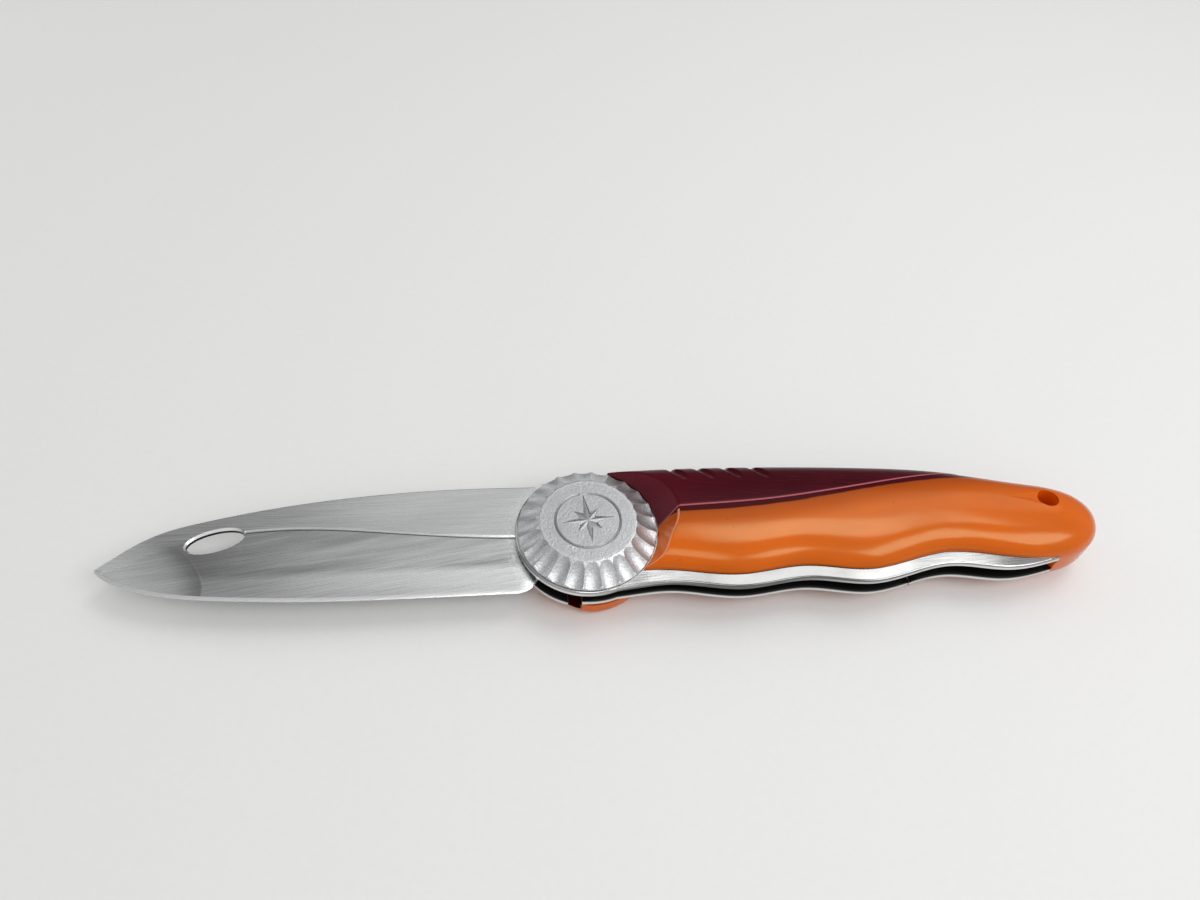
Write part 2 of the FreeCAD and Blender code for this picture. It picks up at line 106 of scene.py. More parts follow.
# Handle lines: shares of the reach, and of the rise or drop
SPINE_LINE = [(0.0488, 0.974), (0.2329, 1.0), (0.3945, 0.971), (0.5572, 0.905), (0.7169, 0.766),
              (0.8745, 0.485)]
BUTT_LINE = [(0.9451, 0.333), (0.9853, 0.121), (0.9995, -0.109), (0.993, -0.361), (0.9637, -0.594),
             (0.9118, -0.733)]
FINGER_LINE = [(0.788, -0.873), (0.6853, -0.775), (0.5206, -1.0), (0.4057, -0.902), (0.2766, -0.996),
               (0.1464, -0.88)]
FRONT_LINE = [(0.0885, -0.909), (0.0, -0.993), (0.0, 0.99)]
TAIL_ARC = [(0.908, -0.84), (0.8592, -0.145), (0.8419, 0.9)]
RIDGE_LINE = [(0.1678, 0.139), (0.2461, 0.165), (0.3447, 0.21), (0.4444, 0.302), (0.5359, 0.409),
              (0.6813, 0.59), (0.8643, 0.69)]
# Where the dark band under the ridge turns into a fade: a burgundy tint with painted shade
FADE_LINE = [(0.165, 0.055), (0.2095, 0.062), (0.31, 0.095), (0.435, 0.212), (0.537, 0.339), (0.63, 0.445),
            (0.714, 0.516), (0.842, 0.547)]
CREST_LINE = [(0.6813, 0.095), (1.0, -0.0665)]
SCREW_PLACES = [(0.2542, 0.62), (0.4474, -0.07), (0.7423, 0.0)]

# Upper edge of the lock leaf, from its locking end to its root
LEAF_EDGE = [(-1.85, -8.9), (3.0, -8.2), (8.0, -6.2), (LEAF_ROOT - 0.05, -5.0)]
LEAF_BELOW = -6
LEAF_CUT = 0.7
LOCK_WINDOW = 2.3
LOCK_NOTCH = 1.6
LOCK_FACE = math.radians(-92)

SQUARE = np.array([(-1, -1), (1, -1), (1, 1), (-1, 1)])


def placed(shares, reach=HANDLE_REACH, rise=HANDLE_RISE, drop=HANDLE_DROP):
    """Points of an outline from their shares."""
    return np.array([(reach * x, (rise if y > 0 else drop) * y) for x, y in shares])


class Spline:
    """Smooth line through a few points, measured along their chords."""

    def __init__(self, points):
        self.points = np.array(points, float)
        steps = np.linalg.norm(np.diff(self.points, axis=0), axis=1)
        self.knots = np.concatenate([[0.0], np.cumsum(steps)])
        self.slopes = self.solve(steps)

    def solve(self, steps):
        count = len(self.points)
        matrix = np.eye(count)
        right = np.zeros_like(self.points)
        ends = min(4, count)
        right[0] = np.polyfit(self.knots[:ends], self.points[:ends], ends - 1)[-2]
        tail = self.knots[-ends:] - self.knots[-1]
        right[-1] = np.polyfit(tail, self.points[-ends:], ends - 1)[-2]
        for i in range(1, count - 1):
            before, after = 1 / steps[i - 1], 1 / steps[i]
            matrix[i, i - 1:i + 2] = before, 2 * (before + after), after
            rise = self.points[i + 1] - self.points[i]
            fall = self.points[i] - self.points[i - 1]
            right[i] = 3 * (fall * before ** 2 + rise * after ** 2)
        return np.linalg.solve(matrix, right)

    def sample(self, count):
        along = np.linspace(0, self.knots[-1], count)
        i = np.clip(np.searchsorted(self.knots, along, side="right") - 1, 0, len(self.knots) - 2)
        step = self.knots[i + 1] - self.knots[i]
        t = ((along - self.knots[i]) / step)[:, None]
        a, b = self.points[i], self.points[i + 1]
        da, db = self.slopes[i] * step[:, None], self.slopes[i + 1] * step[:, None]
        bend = (1 + 2 * t) * (1 - t) ** 2 * a + t * (1 - t) ** 2 * da
        return bend + t ** 2 * (3 - 2 * t) * b + t ** 2 * (t - 1) * db

    def heights(self):
        """A function that gives y at each x, for a line that never turns back."""
        points = self.sample(1200)
        points = points[np.argsort(points[:, 0])]
        return lambda x: np.interp(x, points[:, 0], points[:, 1])


def smooth(value, low, high):
    """0 below low, 1 above high, and an even S between."""
    t = np.clip((np.asarray(value, float) - low) / (high - low), 0, 1)
    return t * t * (3 - 2 * t)


def polar(radius, turn, *columns):
    """Points at a radius and a turn round the pivot, with any further columns."""
    return np.column_stack([radius * np.cos(turn), radius * np.sin(turn), *columns])


def circle(radius, count, centre=(0, 0)):
    return np.array(centre) + polar(radius, np.linspace(0, 2 * math.pi, count, endpoint=False))


def level(points, z):
    """Flat points lifted to one level."""
    return np.column_stack([points, np.full(len(points), float(z))])


def inside(ring, point):
    """Whether a point lies within a closed ring of points."""
    after = np.roll(ring, -1, axis=0)
    spans = (ring[:, 1] > point[1]) != (after[:, 1] > point[1])
    a, b = ring[spans], after[spans]
    reach = a[:, 0] + (point[1] - a[:, 1]) / (b[:, 1] - a[:, 1]) * (b[:, 0] - a[:, 0])
    return np.count_nonzero(reach > point[0]) % 2 == 1


def linked(name, data):
    """A new object on the scene."""
    piece = bpy.data.objects.new(name, data)
    bpy.context.scene.collection.objects.link(piece)
    return piece


def dropped(piece):
    """Removes a piece that is used up, with its mesh."""
    mesh = piece.data
    bpy.data.objects.remove(piece)
    bpy.data.meshes.remove(mesh)


class Solid:
    """Points and faces of a closed piece, in millimetres about the pivot and the middle plane."""

    def __init__(self):
        self.points = []
        self.faces = []

    def add(self, points):
        first = len(self.points)
        self.points.extend(np.asarray(points, float).tolist())
        return list(range(first, len(self.points)))

    def grid(self, rows, wrap=False):
        """Quads between rows of points. Returns each row's indices."""
        rows = [self.add(row) for row in rows]
        for upper, lower in zip(rows, rows[1:]):
            columns = list(range(len(upper))) + ([0] if wrap else [])
            for a, b in zip(columns, columns[1:]):
                self.faces.append((upper[a], upper[b], lower[b], lower[a]))
        return rows

    def cap(self, loop, *holes):
        """Fills a flat loop, leaving its holes open."""
        order, edges = [], []
        for ring in (loop, *holes):
            first = len(order)
            order += ring
            edges += [(first + i, first + (i + 1) % len(ring)) for i in range(len(ring))]
        flat = [Vector(self.points[i][:2]) for i in order]
        places, _, faces, found, _, _ = delaunay_2d_cdt(flat, edges, [], 1, 1e-5)
        rings = [np.array([self.points[i][:2] for i in hole]) for hole in holes]
        for face in faces:
            centre = sum((places[i] for i in face), Vector((0, 0))) / len(face)
            if not any(inside(ring, centre) for ring in rings):
                self.faces.append(tuple(order[found[i][0]] for i in face))

    def fan(self, corner, path):
        """Triangles from one point to a path."""
        for a, b in zip(path, path[1:]):
            self.faces.append((corner, a, b))

    def build(self, name):
        mesh = bpy.data.meshes.new(name)
        lifted = np.array(self.points) * MM + np.array([0, 0, MIDDLE])
        mesh.from_pydata(lifted.tolist(), [], self.faces)
        shape = bmesh.new()
        shape.from_mesh(mesh)
        bmesh.ops.remove_doubles(shape, verts=shape.verts, dist=2e-6)
        bmesh.ops.dissolve_degenerate(shape, edges=shape.edges, dist=1e-7)
        bmesh.ops.recalc_face_normals(shape, faces=shape.faces)
        shape.to_mesh(mesh)
        shape.free()
        return linked(name, mesh)


def baked(piece):
    """Turns a piece with modifiers into a plain mesh."""
    graph = bpy.context.evaluated_depsgraph_get()
    mesh = bpy.data.meshes.new_from_object(piece.evaluated_get(graph))
    piece.modifiers.clear()
    old, piece.data = piece.data, mesh
    bpy.data.meshes.remove(old)
    return piece


def combined(piece, other, how):
    """Cuts a piece with another, joins them, or keeps what they share. The other one is used up."""
    change = piece.modifiers.new("change", "BOOLEAN")
    change.operation = how
    change.solver = "MANIFOLD"
    change.object = other
    baked(piece)
    dropped(other)
    return piece


def stacked(name, loops):
    """A closed piece through flat loops, one above another."""
    solid = Solid()
    rows = solid.grid(loops, wrap=True)
    solid.cap(rows[0])
    solid.cap(rows[-1])
    return solid.build(name)


def straight(name, loop, low, high):
    """A closed straight piece on one loop."""
    return stacked(name, [level(loop, low), level(loop, high)])


def coordinates(piece):
    points = np.empty(len(piece.data.vertices) * 3, np.float32)
    piece.data.vertices.foreach_get("co", points)
    return points.reshape(-1, 3)


def millimetres(piece):
    """A finished piece's points as the code's own millimetres."""
    return (coordinates(piece) - np.array([0, 0, MIDDLE])) / MM


def mark(piece, name, values):
    """Keeps one number per point on the piece, for its material."""
    layer = piece.data.attributes.new(name, "FLOAT", "POINT")
    layer.data.foreach_set("value", np.asarray(values, np.float32))


def finished(piece, material, node, body, crease=32):
    """Shades a piece, gives it its material and lets it ride for its CAD node."""
    piece.data.name = piece.name
    piece.data.polygons.foreach_set("use_smooth", [True] * len(piece.data.polygons))
    piece.data.set_sharp_from_angle(angle=math.radians(crease))
    piece.data.materials.clear()
    piece.data.materials.append(material)
    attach(piece, body)
    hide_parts(node)
    return piece


# Materials

HIGHLIGHT_PALE = (0.9, 0.62, 0.5)
RIDGE_HIGHLIGHT = (0.5, 0.13, 0.16)
WARM = (0.8, 0.95, 0.55)
BRUSH_SLANT = 8
TIP_CURVE = -0.0704


class Steps:
    """The nodes of a tree, written as short steps."""

    def __init__(self, tree):
        self.nodes, self.links = tree.nodes, tree.links

    def put(self, socket, value):
        if isinstance(value, bpy.types.NodeSocket):
            self.links.new(value, socket)
        elif socket.type == "RGBA":
            socket.default_value = (*value, 1.0)
        else:
            socket.default_value = value

    def node(self, kind, settings=None, **inputs):
        """A new node. Its inputs are named with underscores for spaces."""
        node = self.nodes.new(kind)
        for name, value in (settings or {}).items():
            setattr(node, name, value)
        for name, value in inputs.items():
            self.put(node.inputs[name.replace("_", " ")], value)
        return node

    def math(self, how, *values):
        node = self.node("ShaderNodeMath", {"operation": how})
        for socket, value in zip(node.inputs, values):
            self.put(socket, value)
        return node.outputs[0]

    def plus(self, *values):
        return self.math("ADD", *values)

    def minus(self, *values):
        return self.math("SUBTRACT", *values)

    def times(self, *values):
        return self.math("MULTIPLY", *values)

    def over(self, *values):
        return self.math("DIVIDE", *values)

    def blend(self, share, first, second):
        """A value between two others."""
        return self.plus(first, self.times(share, self.minus(second, first)))

    def parts(self, vector):
        """The three parts of a vector."""
        return self.node("ShaderNodeSeparateXYZ", Vector=vector).outputs

    def span(self, value, low, high, start=0.0, end=1.0):
        """A value's range from low to high moved to start to end, and held at those."""
        return self.node("ShaderNodeMapRange", Value=value, From_Min=low, From_Max=high, To_Min=start,
                         To_Max=end).outputs[0]

    def mix(self, share, first, second):
        """A colour between two others, by a share that may vary."""
        node = self.node("ShaderNodeMix", {"data_type": "RGBA"}, Factor=share)
        self.put(node.inputs[6], first)
        self.put(node.inputs[7], second)
        return node.outputs[2]


class Finish(Steps):
    """A material and the steps that only materials need."""

    def __init__(self, name):
        self.material = bpy.data.materials.get(name) or bpy.data.materials.new(name)
        self.material.use_nodes = True
        super().__init__(self.material.node_tree)
        self.nodes.clear()
        output = self.node("ShaderNodeOutputMaterial")
        self.shader = self.node("ShaderNodeBsdfPrincipled")
        self.put(output.inputs["Surface"], self.shader.outputs[0])
        self.place = self.node("ShaderNodeTexCoord").outputs["Object"]

    def mapped(self, scale, turn=0.0):
        """Object coordinates turned about the upright axis, then scaled to repeats per metre."""
        sizes = tuple(1 / value for value in scale)
        return self.node("ShaderNodeMapping", {"vector_type": "TEXTURE"}, Vector=self.place,
                         Rotation=(0, 0, math.radians(turn)), Scale=sizes).outputs[0]

    def noise(self, scale, turn=0.0, detail=3.0):
        place = self.mapped(scale, turn)
        return self.node("ShaderNodeTexNoise", Vector=place, Scale=1.0, Detail=detail).outputs["Fac"]

    def axes(self):
        """Object coordinates as three values."""
        return self.parts(self.place)

    def attribute(self, name):
        return self.node("ShaderNodeAttribute", {"attribute_name": name}).outputs["Fac"]

    def distance(self, x, y, centre):
        """Distance on the plan from a centre."""
        aside = [self.minus(value, middle) for value, middle in zip((x, y), centre)]
        squares = [self.times(value, value) for value in aside]
        return self.math("SQRT", self.plus(*squares))

    def oval(self, x, y, centre, tilt, sizes):
        """Distance on the plan from the middle of a tilted oval, 1 on its outline."""
        turn = math.radians(tilt)
        x, y = self.minus(x, centre[0]), self.minus(y, centre[1])
        parts = []
        ways = (math.cos(turn), math.sin(turn)), (-math.sin(turn), math.cos(turn))
        for (a, b), size in zip(ways, sizes):
            part = self.plus(self.times(x, a / size), self.times(y, b / size))
            parts.append(self.times(part, part))
        return self.math("SQRT", self.plus(*parts))

    def bump(self, height, depth, share=1.0, below=None):
        node = self.node("ShaderNodeBump", Height=height, Distance=depth, Strength=share)
        if below is not None:
            self.put(node.inputs["Normal"], below)
        return node.outputs[0]

    def done(self, **inputs):
        for name, value in inputs.items():
            self.put(self.shader.inputs[name.replace("_", " ")], value)
        return self.material


def shade(colour, share):
    """A colour made darker or lighter."""
    return tuple(min(1.0, part * share) for part in colour)


def mixed(first, second, share):
    """A colour between two others."""
    return tuple(a + (b - a) * share for a, b in zip(first, second))


def brushed_blade_steel(colours, sizes):
    """Fine lines along the flat, slanting on the flank, with streaks and scuffs; painted highlight and shade on
    the low flank, round a curved line by the tip, on the engraved line, the edge bevel and the hole.
    """
    f = Finish("Brushed blade steel")
    x, y, _ = f.axes()
    flank = f.attribute("flank")
    along = f.noise((60, 7000, 400), detail=4)
    slanted = f.noise((90, 5200, 400), BRUSH_SLANT, 4)
    lines = f.plus(f.times(slanted, flank), f.times(along, f.minus(1.0, flank)))
    # Painted highlight: a lighter band low on the flank, strongest towards the heel
    lit_low_band = f.span(y, -0.0068, -0.0054, 1.0, 0.0)
    upper_flank = f.times(flank, f.minus(1.0, lit_low_band))
    streaks = f.span(f.noise((30, 330, 60), BRUSH_SLANT, 3), 0.38, 0.64)
    streaks = f.times(streaks, f.span(upper_flank, 0.0, 1.0, 0.3, 1.0))
    tone = f.mix(f.span(lines, 0.3, 0.7), shade(colours.blade, 0.8), shade(colours.blade, 1.12))
    tone = f.mix(streaks, tone, shade(colours.blade, 0.62))
    tone = f.mix(f.times(lit_low_band, f.span(x, -0.065, -0.022, 0.12, 0.95)), tone,
                 shade(colours.blade, 1.5))

    # A curved polish line by the tip, drawn as painted shade on both sides of it
    rise = f.over(f.plus(y, 0.0093), 0.00985)
    curve = f.times(f.times(rise, rise), 0.0058)
    past = f.minus(f.minus(TIP_CURVE, curve), x)
    behind = f.times(f.span(past, -0.02, 0.0, 0.0, 0.62), f.span(lit_low_band, 0.0, 1.0, 1.0, 0.35))
    shadow = f.math("MINIMUM", f.span(past, 0.0003, 0.0055, 0.72, 0.0), f.span(past, 0.0, 0.0006, 0.0, 1.0))
    shadow = f.math("MAXIMUM", shadow, f.times(behind, f.span(past, 0.0, 0.0006, 1.0, 0.0)))
    shadow = f.times(shadow, f.span(y, -0.0005, 0.002, 1.0, 0.1))
    tone = f.mix(shadow, tone, shade(colours.blade, 0.3))
    # Painted highlight on the tip past the curved line
    tone = f.mix(f.span(past, 0.002, 0.014, 0.0, 0.9), tone, shade(colours.blade, 1.5))

    round_pivot = f.distance(x, y, (0.0, 0.0))
    scuff = f.span(f.noise((1500, 1500, 1500), detail=4), 0.44, 0.6)
    scuff = f.times(scuff, f.span(round_pivot, 0.0141, 0.0168, 0.8, 0.0))
    tone = f.mix(scuff, tone, shade(colours.blade, 1.3))
    # Painted shade on the engraved line's lower wall, and a painted highlight on its upper wall
    tone = f.mix(f.attribute("groove"), tone, shade(colours.blade, 0.08))
    tone = f.mix(f.attribute("pale"), tone, shade(colours.blade, 1.15))
    # Painted highlight on the edge bevel
    tone = f.mix(f.span(f.attribute("rise"), 0.95, 1.08, 1.0, 0.0), tone, shade(colours.blade, 1.55))
    centre = [value * MM for value in HOLE_CENTRE]
    oval = np.array([sizes.hole_length, sizes.hole_width]) / 2
    # Painted highlight on the hole's chamfer
    rim = f.oval(x, y, centre, HOLE_TILT, oval + HOLE_CHAMFER * MM)
    tone = f.mix(f.span(rim, 0.98, 1.0, 1.0, 0.0), tone, shade(colours.blade, 1.5))
    # Painted shade on the hole's wall
    wall = f.oval(x, y, centre, HOLE_TILT, oval)
    tone = f.mix(f.span(wall, 1.0, 1.02, 1.0, 0.0), tone, shade(colours.blade, 0.1))
    rough = f.plus(f.span(lines, 0.25, 0.75, 0.2, 0.36), f.times(scuff, 0.2))
    scratch = f.bump(lines, 0.00002, 0.55)
    return f.done(Base_Color=tone, Metallic=1.0, Roughness=rough, Normal=scratch)


def blasted_wheel_metal(colours, sizes):
    """Grainy cast metal with small pits, a painted highlight on the fluted slope and painted shade in the sunk
    ring and star.
    """
    f = Finish("Blasted wheel metal")
    grain = f.noise((5200, 5200, 5200), detail=4)
    patch = f.noise((260, 260, 260))
    pits = f.node("ShaderNodeTexVoronoi", Vector=f.mapped((1500, 1500, 1500)), Scale=1.0).outputs["Distance"]
    tone = f.mix(f.span(grain, 0.34, 0.66), shade(colours.wheel, 0.72), shade(colours.wheel, 1.22))
    tone = f.mix(f.span(patch, 0.35, 0.75), tone, shade(colours.wheel, 0.9))
    tone = f.mix(f.span(pits, 0.05, 0.2, 0.45, 0.0), tone, shade(colours.wheel, 0.35))
    x, y, _ = f.axes()
    from_axis = f.distance(x, y, (0.0, 0.0))
    # Painted highlight on the fluted slope
    slope = f.span(from_axis, sizes.face_radius - 0.0008, sizes.face_radius + 0.0002, 0.0, 0.6)
    tone = f.mix(f.times(slope, f.span(grain, 0.3, 0.6)), tone, shade(colours.wheel, 1.6))
    # Painted shade in the sunk ring and star
    tone = f.mix(f.attribute("carved"), tone, shade(colours.wheel, 0.5))
    rough = f.span(patch, 0.3, 0.7, 0.36, 0.48)
    blasted = f.bump(f.noise((2300, 2300, 2300), detail=2), 0.00012, 0.6)
    blasted = f.bump(grain, 0.00003, 0.5, blasted)
    return f.done(Base_Color=tone, Metallic=0.95, Roughness=rough, Normal=blasted)


def polished_liner_steel(colours):
    """Polished sheet with fine scuffs; painted highlight and shade along the knife and on the side edges, and
    painted shade inside the slot, which is rougher too.
    """
    f = Finish("Polished liner steel")
    scuffs = f.noise((140, 4200, 4200), 4, 4)
    haze = f.noise((120, 220, 120))
    x, _, z = f.axes()
    # Painted highlight and shade on the face: lighter by the wheel and towards the butt, darker between
    tone = f.mix(f.span(x, 0.011, 0.022), shade(colours.liner, 1.1), shade(colours.liner, 0.38))
    tone = f.mix(f.span(x, 0.048, 0.068), tone, shade(colours.liner, 0.95))
    tone = f.mix(f.span(scuffs, 0.35, 0.7, 0.3, 0.0), tone, shade(colours.liner, 0.25))
    # Painted highlight on the side edges by the wheel, towards the butt and on the rear liner, painted shade on
    # the rest
    lit = f.math("MAXIMUM", f.span(x, -0.002, 0.006, 1.0, 0.0), f.span(x, 0.035, 0.06))
    lit = f.math("MAXIMUM", lit, f.math("LESS_THAN", z, MIDDLE))
    edge = f.mix(lit, shade(colours.liner, 0.3), shade(colours.liner, 1.7))
    tone = f.mix(f.attribute("side"), tone, edge)
    # Painted shade inside the slot, which is also made rougher
    dull = f.attribute("dull")
    tone = f.mix(dull, tone, shade(colours.liner, 0.03))
    rough = f.plus(f.span(scuffs, 0.3, 0.75, 0.1, 0.2), f.span(haze, 0.35, 0.7, 0.0, 0.08))
    rough = f.plus(rough, f.times(dull, 0.4))
    return f.done(Base_Color=tone, Metallic=1.0, Roughness=rough, Normal=f.bump(scuffs, 0.00001, 0.35))


def moulded_orange(colours):
    """Glossy orange with few specks; a burgundy tint with painted shade below the ridge, a painted highlight on
    the facet's edge, painted light in the lanyard hole and painted shade in the lock notch.
    """
    f = Finish("Moulded orange")
    cloud = f.noise((70, 150, 150), detail=2)
    tone = f.mix(f.span(cloud, 0.3, 0.72), colours.orange, shade(colours.orange, 0.86))
    specks = f.node("ShaderNodeTexVoronoi", Vector=f.mapped((420, 420, 420)), Scale=1.0).outputs["Distance"]
    few = f.span(f.noise((300, 300, 300)), 0.5, 0.56)
    tone = f.mix(f.times(f.span(specks, 0.05, 0.1, 0.55, 0.0), few), tone, shade(colours.orange, 0.3))
    # A burgundy tint below the ridge that also carries painted shade: a dark band, then a fade
    dyed = f.plus(f.attribute("dyed"), f.span(f.noise((240, 900, 900)), 0.2, 0.8, -0.12, 0.12))
    tone = f.mix(f.span(dyed, 0.0, 5.0, 0.62, 0.0), tone, mixed(colours.orange, colours.burgundy, 0.8))
    tone = f.mix(f.span(dyed, -0.12, 0.12, 1.0, 0.0), tone, shade(colours.burgundy, 0.9))
    shine = f.plus(f.span(dyed, -0.12, 0.3, 0.07, 0.2), f.span(dyed, 2.0, 4.5, 0.0, 0.27))
    # Painted highlight along the upper edge of the facet beside the wheel
    tone = f.mix(f.attribute("worn"), tone, mixed(colours.orange, HIGHLIGHT_PALE, 0.4))
    x, y, z = f.axes()
    # Painted light inside the lanyard hole, as if light shone through the plastic
    bore = f.distance(x, y, mounts["lanyard_hole"]["pos_m"])
    tone = f.mix(f.math("LESS_THAN", bore, (LANYARD_R + 0.03) * MM), tone, shade(colours.orange, 1.25))
    # Painted shade in the lock notch of the rear half
    end = np.array(LEAF_EDGE[0])
    notch = f.math("LESS_THAN", f.math("ABSOLUTE", f.minus(x, (end[0] - LOCK_WINDOW / 2) * MM)),
                   (LOCK_WINDOW / 2 + 0.1) * MM)
    notch = f.times(notch, f.math("LESS_THAN", y, end[1] * MM))
    deep = f.minus(MIDDLE, z)
    notch = f.times(notch, f.math("GREATER_THAN", deep, (LINER_OUT - 0.02) * MM))
    notch = f.times(notch, f.math("LESS_THAN", deep, (LINER_OUT + LOCK_NOTCH + 0.02) * MM))
    tone = f.mix(notch, tone, shade(colours.burgundy, 0.5))
    ripple = f.noise((160, 320, 320), detail=1)
    rough = f.span(cloud, 0.3, 0.7, 0.13, 0.2)
    f.shader.inputs["Subsurface Radius"].default_value = (1.0, 0.35, 0.1)
    return f.done(Base_Color=tone, Roughness=rough, Subsurface_Weight=0.08, Subsurface_Scale=0.001,
                  Specular_IOR_Level=shine, Specular_Tint=WARM, Normal=f.bump(ripple, 0.0001, 0.2))


def moulded_burgundy(colours):
    """Dark streaky burgundy, with a painted pink highlight along its lower rim, painted highlight towards the
    wheel and painted shade towards the spine.
    """
    f = Finish("Moulded burgundy")
    cloud = f.noise((80, 160, 160), detail=2)
    streak = f.noise((130, 1700, 1700), -6)
    tone = f.mix(f.span(cloud, 0.3, 0.7), colours.burgundy, shade(colours.burgundy, 0.72))
    tone = f.mix(f.span(streak, 0.55, 0.8, 0.0, 0.35), tone, shade(colours.burgundy, 1.4))
    x, _, z = f.axes()
    out = f.math("ABSOLUTE", f.minus(z, MIDDLE))
    # Painted highlight towards the wheel, and painted shade where the grip falls towards the spine
    tone = f.mix(f.span(x, 0.012, 0.032, 0.5, 0.0), tone, shade(colours.burgundy, 1.5))
    tone = f.mix(f.span(out, 0.0024, 0.0056, 0.7, 0.0), tone, shade(colours.burgundy, 0.3))
    # Painted pink highlight along the grip's lower rim
    tone = f.mix(f.attribute("rim"), tone, RIDGE_HIGHLIGHT)
    rough = f.span(streak, 0.3, 0.7, 0.2, 0.3)
    return f.done(Base_Color=tone, Roughness=rough, Specular_IOR_Level=0.07,
                  Normal=f.bump(streak, 0.00003, 0.4))


def grained(name, scale, colour, tones, rough, depth, metallic):
    """A plain finish with one grain in its tone, its roughness and its surface."""
    f = Finish(name)
    grain = f.noise(scale)
    tone = f.mix(f.span(grain, 0.3, 0.7), *(shade(colour, share) for share in tones))
    return f.done(Base_Color=tone, Metallic=metallic, Roughness=f.span(grain, 0.3, 0.7, *rough),
                  Normal=f.bump(grain, depth, 0.4))


def turned_steel(colours):
    scale = (900, 900, 6000)
    return grained("Turned pin steel", scale, colours.liner, (0.62, 0.84), (0.24, 0.36), 0.00001, 1.0)


def bearing_bronze(colours):
    scale = (2400, 2400, 2400)
    return grained("Bearing bronze", scale, colours.bronze, (0.75, 1.1), (0.28, 0.42), 0.00002, 1.0)


def black_nylon(colours):
    scale = (1800, 1800, 1800)
    return grained("Black nylon", scale, colours.spacer, (1.0, 1.8), (0.5, 0.65), 0.00003, 0.0)


def pale_paper(colours):
    f = Finish("Pale paper floor")
    grain = f.noise((700, 700, 700))
    tone = f.mix(f.span(grain, 0.3, 0.7), colours.floor, shade(colours.floor, 0.985))
    return f.done(Base_Color=tone, Roughness=0.75, Normal=f.bump(grain, 0.00004, 0.2))


# Settings in the sidebar

def length_setting(name, description, default):
    return FloatProperty(name=name, description=description, default=default, unit="LENGTH", precision=5)


def power_setting(name, description, default):
    return FloatProperty(name=name, description=description, default=default, unit="POWER")


def colour_setting(name, description, default):
    return FloatVectorProperty(name=name, description=description, subtype="COLOR", size=3, min=0, max=1,
                               default=default)


class KnifeSizes(bpy.types.PropertyGroup):
    """Sizes that a user would change, in metres."""

    groove_width: length_setting("Groove width", "Width of the line engraved along the blade", 0.0009)
    groove_depth: length_setting("Groove depth", "Depth of the line engraved along the blade", 0.00018)
    hole_length: length_setting("Hole length", "Long axis of the oval hole in the blade", 0.0104)
    hole_width: length_setting("Hole width", "Short axis of the oval hole in the blade", 0.0043)
    flutes: IntProperty(name="Flutes", description="Scoops round the wheel's rim", default=24, min=6)
    flute_depth: length_setting("Flute depth", "Depth of a scoop at its middle", 0.00068)
    face_radius: length_setting("Face radius", "Radius of the wheel's flat face", 0.00925)
    ring_radius: length_setting("Ring radius", "Radius of the ring cut round the star", 0.0062)
    liner_round: length_setting("Liner rounding", "Rounding of the liners' edges", 0.0005)
    liner_show: length_setting("Liner band", "Steel that shows below a handle half", 0.0025)
    grip_proud: length_setting("Grip step", "Height of the grip above the handle half", 0.00025)
    grooves: IntProperty(name="Thumb grooves", description="Grooves over the spine of each grip", default=4)


class KnifeColours(bpy.types.PropertyGroup):
    """Colours that a user would change."""

    blade: colour_setting("Blade", "Brushed stainless of the blade", (0.56, 0.565, 0.565))
    wheel: colour_setting("Wheel", "Blasted metal of the wheel", (0.52, 0.53, 0.54))
    liner: colour_setting("Liners", "Polished stainless of the liners", (0.50, 0.50, 0.495))
    orange: colour_setting("Handle halves", "Moulded orange", (0.67, 0.112, 0.0))
    burgundy: colour_setting("Grips", "Moulded burgundy", (0.062, 0.003, 0.008))
    spacer: colour_setting("Spacer", "Black nylon of the back spacer", (0.012, 0.012, 0.013))
    bronze: colour_setting("Bushes", "Bearing bronze", (0.56, 0.33, 0.13))
    floor: colour_setting("Floor", "Pale paper under the knife", (0.80, 0.80, 0.79))


class KnifeStage(bpy.types.PropertyGroup):
    """Camera and light."""

    eye: FloatVectorProperty(name="Camera", description="Where the camera stands", subtype="TRANSLATION",
                             size=3, unit="LENGTH", default=(-0.012907, -0.093595, 0.151164))
    lens: FloatProperty(name="Lens", description="Focal length on a 36 mm sensor", default=26.4,
                        unit="CAMERA")
    key: power_setting("Soft box", "Power of the large light behind the blade", 0.175)
    back: power_setting("Back light", "Power of the light behind the handle", 0.27)
    window: power_setting("Window", "Power of the bright light above the handle", 0.72)
    strip: power_setting("Front light", "Power of the light above the camera", 0.24)
    side: power_setting("Side light", "Power of the light in front of the butt", 0.76)
    fill: power_setting("Fill light", "Power of the light beside the camera", 0.2)
    left: power_setting("Left light", "Power of the low light beyond the blade", 0.2)
    sky: FloatProperty(name="Surround", description="Strength of the light from all round", default=0.66)


class KnifeSettings(bpy.types.PropertyGroup):
    """All settings of the knife."""

    sizes: PointerProperty(type=KnifeSizes)
    colours: PointerProperty(type=KnifeColours)
    stage: PointerProperty(type=KnifeStage)


# Blade

HEEL = -BLADE_REACH * BLADE_SPINE[0][0]
TIP = -BLADE_REACH * BLADE_SPINE[-1][0]
STATIONS = 200
HEEL_ROUND = 4.2
SPINE_EASE = 0.2
CUT_REACH = 4.0

# Thinning towards the tip, and the run over which the point is drawn out
TIP_THIN = 0.5
POINT_THIN = 0.3
POINT_RUN = (-6, 16)

# Ground flank and cutting edge
GRIND_ROOM = (0.35, 0.2)
FLANK_BULGE = 0.12
BEVEL_HEIGHT = 0.7
BEVEL_HALF = 0.3
BEVEL_SHARE = 0.35
EDGE_LAND = (0.06, 0.03)

